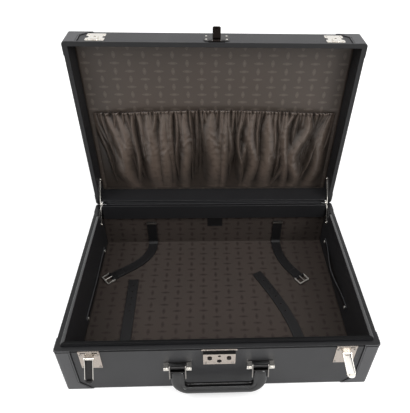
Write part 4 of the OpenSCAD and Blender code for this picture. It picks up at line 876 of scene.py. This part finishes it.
for side, route in zip(("left", "right"), REAR_ROUTES):
    spot, go = on_curve(route, np.linspace(TAB_FROM, TAB_TO, TAB_ROWS), 0)
    beside = np.stack([-go[:, 1], go[:, 0]], -1)
    plan = spot[:, None] + beside[:, None] * (across * (0.94 + 0.06 * round_off))[..., None]
    points = np.concatenate([plan, level[..., None]], -1)
    faces = facing_out(points.reshape(-1, 3), tube_faces(TAB_ROWS, TAB_SIDES), TAB_SIDES)
    piece("strap_tab_" + side, points, faces, bridle, "base")
    shares = np.linspace(TAB_FROM + 0.01, TAB_TO - 0.01, 12)
    rows = [on_curve(route, shares, aside)[0] for aside in (-TAB_SEAM_X, TAB_SEAM_X)]
    first, go = on_curve(route, [TAB_FROM + 0.015], 0)
    rows.append(first + np.array([[-TAB_SEAM_X], [TAB_SEAM_X]]) * (-go[0, 1], go[0, 0]))
    tab_seams += [(np.insert(line, 2, TAB_SEAM_Z, axis=1), (0, 0, 1)) for line in rows]
sewn("tab_stitches", tab_seams, "base", THREAD_PITCH, THREAD_LONG, THREAD_R)


# Metal fittings. Pressed and cast steel, polished and nickel plated; the bars and buckles are
# duller, and every edge is broken by the tumbling before the plating.
SMEAR, SWIRL = 6.25, 1.111


def plated(name, tone, rough, smear):
    """Plated metal, its gloss clouded by finger marks SMEAR mm wide, and its face a little
    uneven over SWIRL mm."""
    made, tree, shader = finish(name, {"Base Color": srgb(tone), "Metallic": 1.0, "Roughness": rough})
    place = add(tree, "TexCoord").outputs["Object"]
    haze = add(tree, "TexNoise", {"Vector": place, "Scale": 1000 / SMEAR, "Detail": 4.0})
    gloss = add(tree, "MapRange", {"Value": haze.outputs["Fac"], "To Min": rough - smear,
                                   "To Max": rough + smear})
    swirl = add(tree, "TexNoise", {"Vector": place, "Scale": 1000 / SWIRL, "Detail": 2.0})
    bump = add(tree, "Bump", {"Height": swirl.outputs["Fac"], "Strength": 0.15, "Distance": 0.00005})
    tree.links.new(gloss.outputs["Result"], shader.inputs["Roughness"])
    tree.links.new(bump.outputs["Normal"], shader.inputs["Normal"])
    return made


# Polished nickel is a warm near white with clear reflections, and greyer where it is less
# polished.
bright_nickel = plated("bright_nickel", "e6e2db", 0.16, 0.06)
plate_nickel = plated("plate_nickel", "b9afa6", 0.26, 0.08)
dull_nickel = plated("dull_nickel", "a09c97", 0.34, 0.08)
# Dark nickel, its darkness painted: a dark reflection on the hasp plate and the handle mounts,
# painted shade in the hollows below. Nearly black nickel with a brown tinge on the flap, the
# buttons and the key barrel; on the flap it is a painted dark reflection.
shade_and_reflection_nickel = plated("shade_and_reflection_nickel", "3c3b3b", 0.3, 0.08)
near_black_nickel = plated("near_black_nickel", "241f1d", 0.3, 0.06)
# Nickel rubbed white by use: the buckles, the studs and where the thumb opens a latch.
worn_nickel = plated("worn_nickel", "dbd8d2", 0.42, 0.08)
# Painted shade in the recesses: black.
recess_shade_black = grained("recess_shade_black", "0d0c0c", rough=0.6, shine=0.1, cell=0.8, depth=0.05)
# Each group of fittings with its plating and how far its edges are rounded, in mm.
PLATING = ((bright_nickel, 0.22, ("latch_lever_left", "latch_lever_right", "lid_catch_left",
                                  "lid_catch_right", "base_hinge_leaf_left", "base_hinge_leaf_right",
                                  "lid_hinge_leaf_left", "lid_hinge_leaf_right")),
           (plate_nickel, 0.22, ("lock_cover", "latch_plate_left", "latch_plate_right")),
           (shade_and_reflection_nickel, 0.6, ("hasp_plate",)),
           (near_black_nickel, 0.22, ("hasp_flap", "lock_button_left", "lock_button_right", "key_cylinder")),
           (shade_and_reflection_nickel, 0.22, ("handle_mount_left", "handle_mount_right")),
           (dull_nickel, 0.35, ("lock_rivets", "latch_rivets")),
           (bright_nickel, 0.35, ("base_leaf_rivets", "lid_rivets", "handle_screws")),
           (dull_nickel, 0.3, ("handle_claw_left", "handle_claw_right", "strap_plates")),
           (worn_nickel, 0.3, ("buckle_left", "buckle_right", "side_strap_studs")))
fittings = {}
for plating, width, nodes in PLATING:
    for node in nodes:
        ending = "_domed" if "rivets" in node or "screws" in node else "_plated"
        fittings[node] = eased(node, width, plating, node + ending)
# Painted shade in the hollows: the left lever's channel, the right one's flanks, the lock's
# shoulder and the middle of the handle's claws are painted dark. The mounts' ends are bright
# against their dark middle, a painted reflection, and the latches' knuckles are polished.
LATCH_X, CHANNEL, THUMB_HALF = 222, 6.6, 5.5
KNUCKLE_HALF, KNUCKLE_Y, KNUCKLE_TOP = 8, -197.2, 119
MOUNT_X, CLAW_MIDDLE, MOUNT_MIDDLE = 73, 11.5, 16
SHOULDER_LOW = 111


def beside(c, middle, reach):
    """Which of the points c lie less than reach mm to either side of x = middle."""
    return np.abs(c[:, 0] - middle) < reach


recover(fittings["latch_lever_left"], shade_and_reflection_nickel,
        lambda c, n: beside(c, -LATCH_X, CHANNEL) & (n[:, 1] - n[:, 2] < 0.7))
recover(fittings["latch_lever_right"], shade_and_reflection_nickel,
        lambda c, n: beside(c, LATCH_X, CHANNEL) & (np.abs(n[:, 0]) > 0.7))
recover(fittings["latch_lever_right"], worn_nickel,
        lambda c, n: beside(c, LATCH_X, THUMB_HALF) & (n[:, 2] - n[:, 1] > 0.7))
# Painted highlight: the hasp plate's faces that turn towards the back are bright nickel.
recover(fittings["hasp_plate"], bright_nickel, lambda c, n: n[:, 1] > 0.25)
recover(fittings["lock_cover"], recess_shade_black,
        lambda c, n: (n[:, 1] < -0.5) & (n[:, 2] > 0.5) & (c[:, 2] > SHOULDER_LOW))
for side, sx in (("left", -1), ("right", 1)):
    recover(fittings["latch_plate_" + side], bright_nickel,
            lambda c, n: beside(c, sx * LATCH_X, KNUCKLE_HALF) & (c[:, 1] < KNUCKLE_Y)
            & (c[:, 2] < KNUCKLE_TOP))
    recover(fittings["handle_claw_" + side], shade_and_reflection_nickel,
            lambda c, n: beside(c, sx * MOUNT_X, CLAW_MIDDLE))
    recover(fittings["handle_mount_" + side], bright_nickel,
            lambda c, n: ~beside(c, sx * MOUNT_X, MOUNT_MIDDLE))
for node in ("latch_pins", "hinge_pins", "hasp_pin"):
    refinish(node, bright_nickel)
for node in ("buckle_prong_left", "buckle_prong_right"):
    refinish(node, dull_nickel)
# The lock's back plate and catches, in the lock's shade, are painted black.
for node in ("lock_back_plate", "lock_catch_left", "lock_catch_right"):
    refinish(node, recess_shade_black)

# Latch slots. Two holes punched side by side in the steel head of each latch plate, where the
# lid catch's hooks enter, drawn as thin black boxes on the plate's face: painted shade for
# their unlit inside.
SLOT_STARTS, SLOT_W, SLOT_Y, SLOT_Z = (-14.5, 5.5), 9, (-196.35, -196.1), (115.6, 119.4)
punched = []
for middle in (-LATCH_X, LATCH_X):
    for start in SLOT_STARTS:
        (x0, x1), (y0, y1) = (middle + start, middle + start + SLOT_W), SLOT_Y
        around = ((x0, y0), (x1, y0), (x1, y1), (x0, y1))
        punched.append([(x, y, z) for z in SLOT_Z for x, y in around])
box_faces = np.array([(0, 1, 5, 4), (1, 2, 6, 5), (2, 3, 7, 6), (3, 0, 4, 7), (3, 2, 1, 0), (4, 5, 6, 7)])
faces = np.concatenate([box_faces + 8 * k for k in range(len(punched))])
piece("latch_slots", punched, faces, recess_shade_black, "base", crease=20)

# Handle grip. A moulded core wrapped in black leather and sewn shut, two raised welts running
# along its upper side.
# Leather polished by the hand: black with a strong shine.
grip_leather = grained("grip_leather", "0b0b0c", rough=0.17, shine=0.7, cell=1.2, depth=0.04, wear=0.04)
GRIP_TOP, GRIP_DROP, GRIP_BEND = 9.3, 50, 19
END_W, END_T, BAR_W, BAR_T = 13, 6, 9.8, 8.6
PIVOT_Y, PIVOT_Z, HANDLE_REST = -203, 78, 15
GRIP_SIDES, END_ROWS, BEND_ROWS, BAR_ROWS, SEAM_FROM = 72, 14, 26, 36, 24


def grip_spine():
    """Half of the grip's spine: (x, z, direction in radians, half width, half thickness) down one
    end, round the bend and along the bar to its middle."""
    t = np.linspace(0, 1, END_ROWS)
    drop = GRIP_DROP - GRIP_BEND - GRIP_TOP
    cap = np.sqrt(1 - (1 - np.clip(t / 0.22, 0, 1)) ** 2 * 0.6)
    end = [0 * t - MOUNT_X, -GRIP_TOP - t * drop, 0 * t - np.pi / 2, END_W * cap, END_T * cap]
    t = np.linspace(0, 1, BEND_ROWS)[1:]
    a = np.pi / 2 * t
    blend = (1 - np.cos(np.pi * t)) / 2
    bend = [-MOUNT_X + GRIP_BEND * (1 - np.cos(a)), -GRIP_DROP + GRIP_BEND * (1 - np.sin(a)),
            a - np.pi / 2, END_W + (BAR_W - END_W) * blend, END_T + (BAR_T - END_T) * blend]
    t = np.linspace(0, 1, BAR_ROWS)[1:]
    bar = [-(MOUNT_X - GRIP_BEND) * (1 - t), 0 * t - GRIP_DROP, 0 * t, 0 * t + BAR_W, 0 * t + BAR_T]
    return np.concatenate([np.stack(part, -1) for part in (end, bend, bar)])


half = grip_spine()
spine = np.concatenate([half, half[-2::-1] * (-1, 1, -1, 1, 1)])
x, z, heading, wide, thick = (spine[:, k : k + 1] for k in range(5))
a = np.arange(GRIP_SIDES) * 2 * np.pi / GRIP_SIDES
turn_from_top = np.abs((a + np.pi) % (2 * np.pi) - np.pi)


# Heights in mm, with place and spread in radians to either side of the grip's top: the welts,
# the groove below each and the hollow between them. They rise over ten rings from each end.
WELTS = ((2.1, 0.6, 0.24), (-1.0, 1.04, 0.15), (-1.2, 0, 0.32))
WELT_RINGS, SIDE_LESS, FACE_LESS = 10, 1.2, 0.6
welts = sum(height * np.exp(-((turn_from_top - at) / spread) ** 2) for height, at, spread in WELTS)
row = np.arange(len(spine))
full = np.clip((np.minimum(row, row[::-1]) + 0.5) / WELT_RINGS, 0, 1)[:, None]
n = (wide - SIDE_LESS + welts * full) * np.cos(a)
m = (thick - FACE_LESS + welts * full) * np.sin(a)
tilt = math.radians(-HANDLE_REST)
drop = z + n * np.cos(heading)
grip = np.stack([x - n * np.sin(heading), m * math.cos(tilt) - drop * math.sin(tilt) + PIVOT_Y,
                 m * math.sin(tilt) + drop * math.cos(tilt) + PIVOT_Z], -1)
faces = tube_faces(len(spine), GRIP_SIDES)
faces = facing_out(grip.reshape(-1, 3), faces, len(faces) - 2)
grip_piece = piece("handle_grip_wrapped", grip, faces, grip_leather, "handle",
                   ["handle_grip"])
under = grip[SEAM_FROM:-SEAM_FROM, GRIP_SIDES // 2]
down = (0, math.sin(tilt), -math.cos(tilt))
sewn("grip_stitches", [(under, down)], "handle", pitch=3.0, length=2.3, radius=0.3)
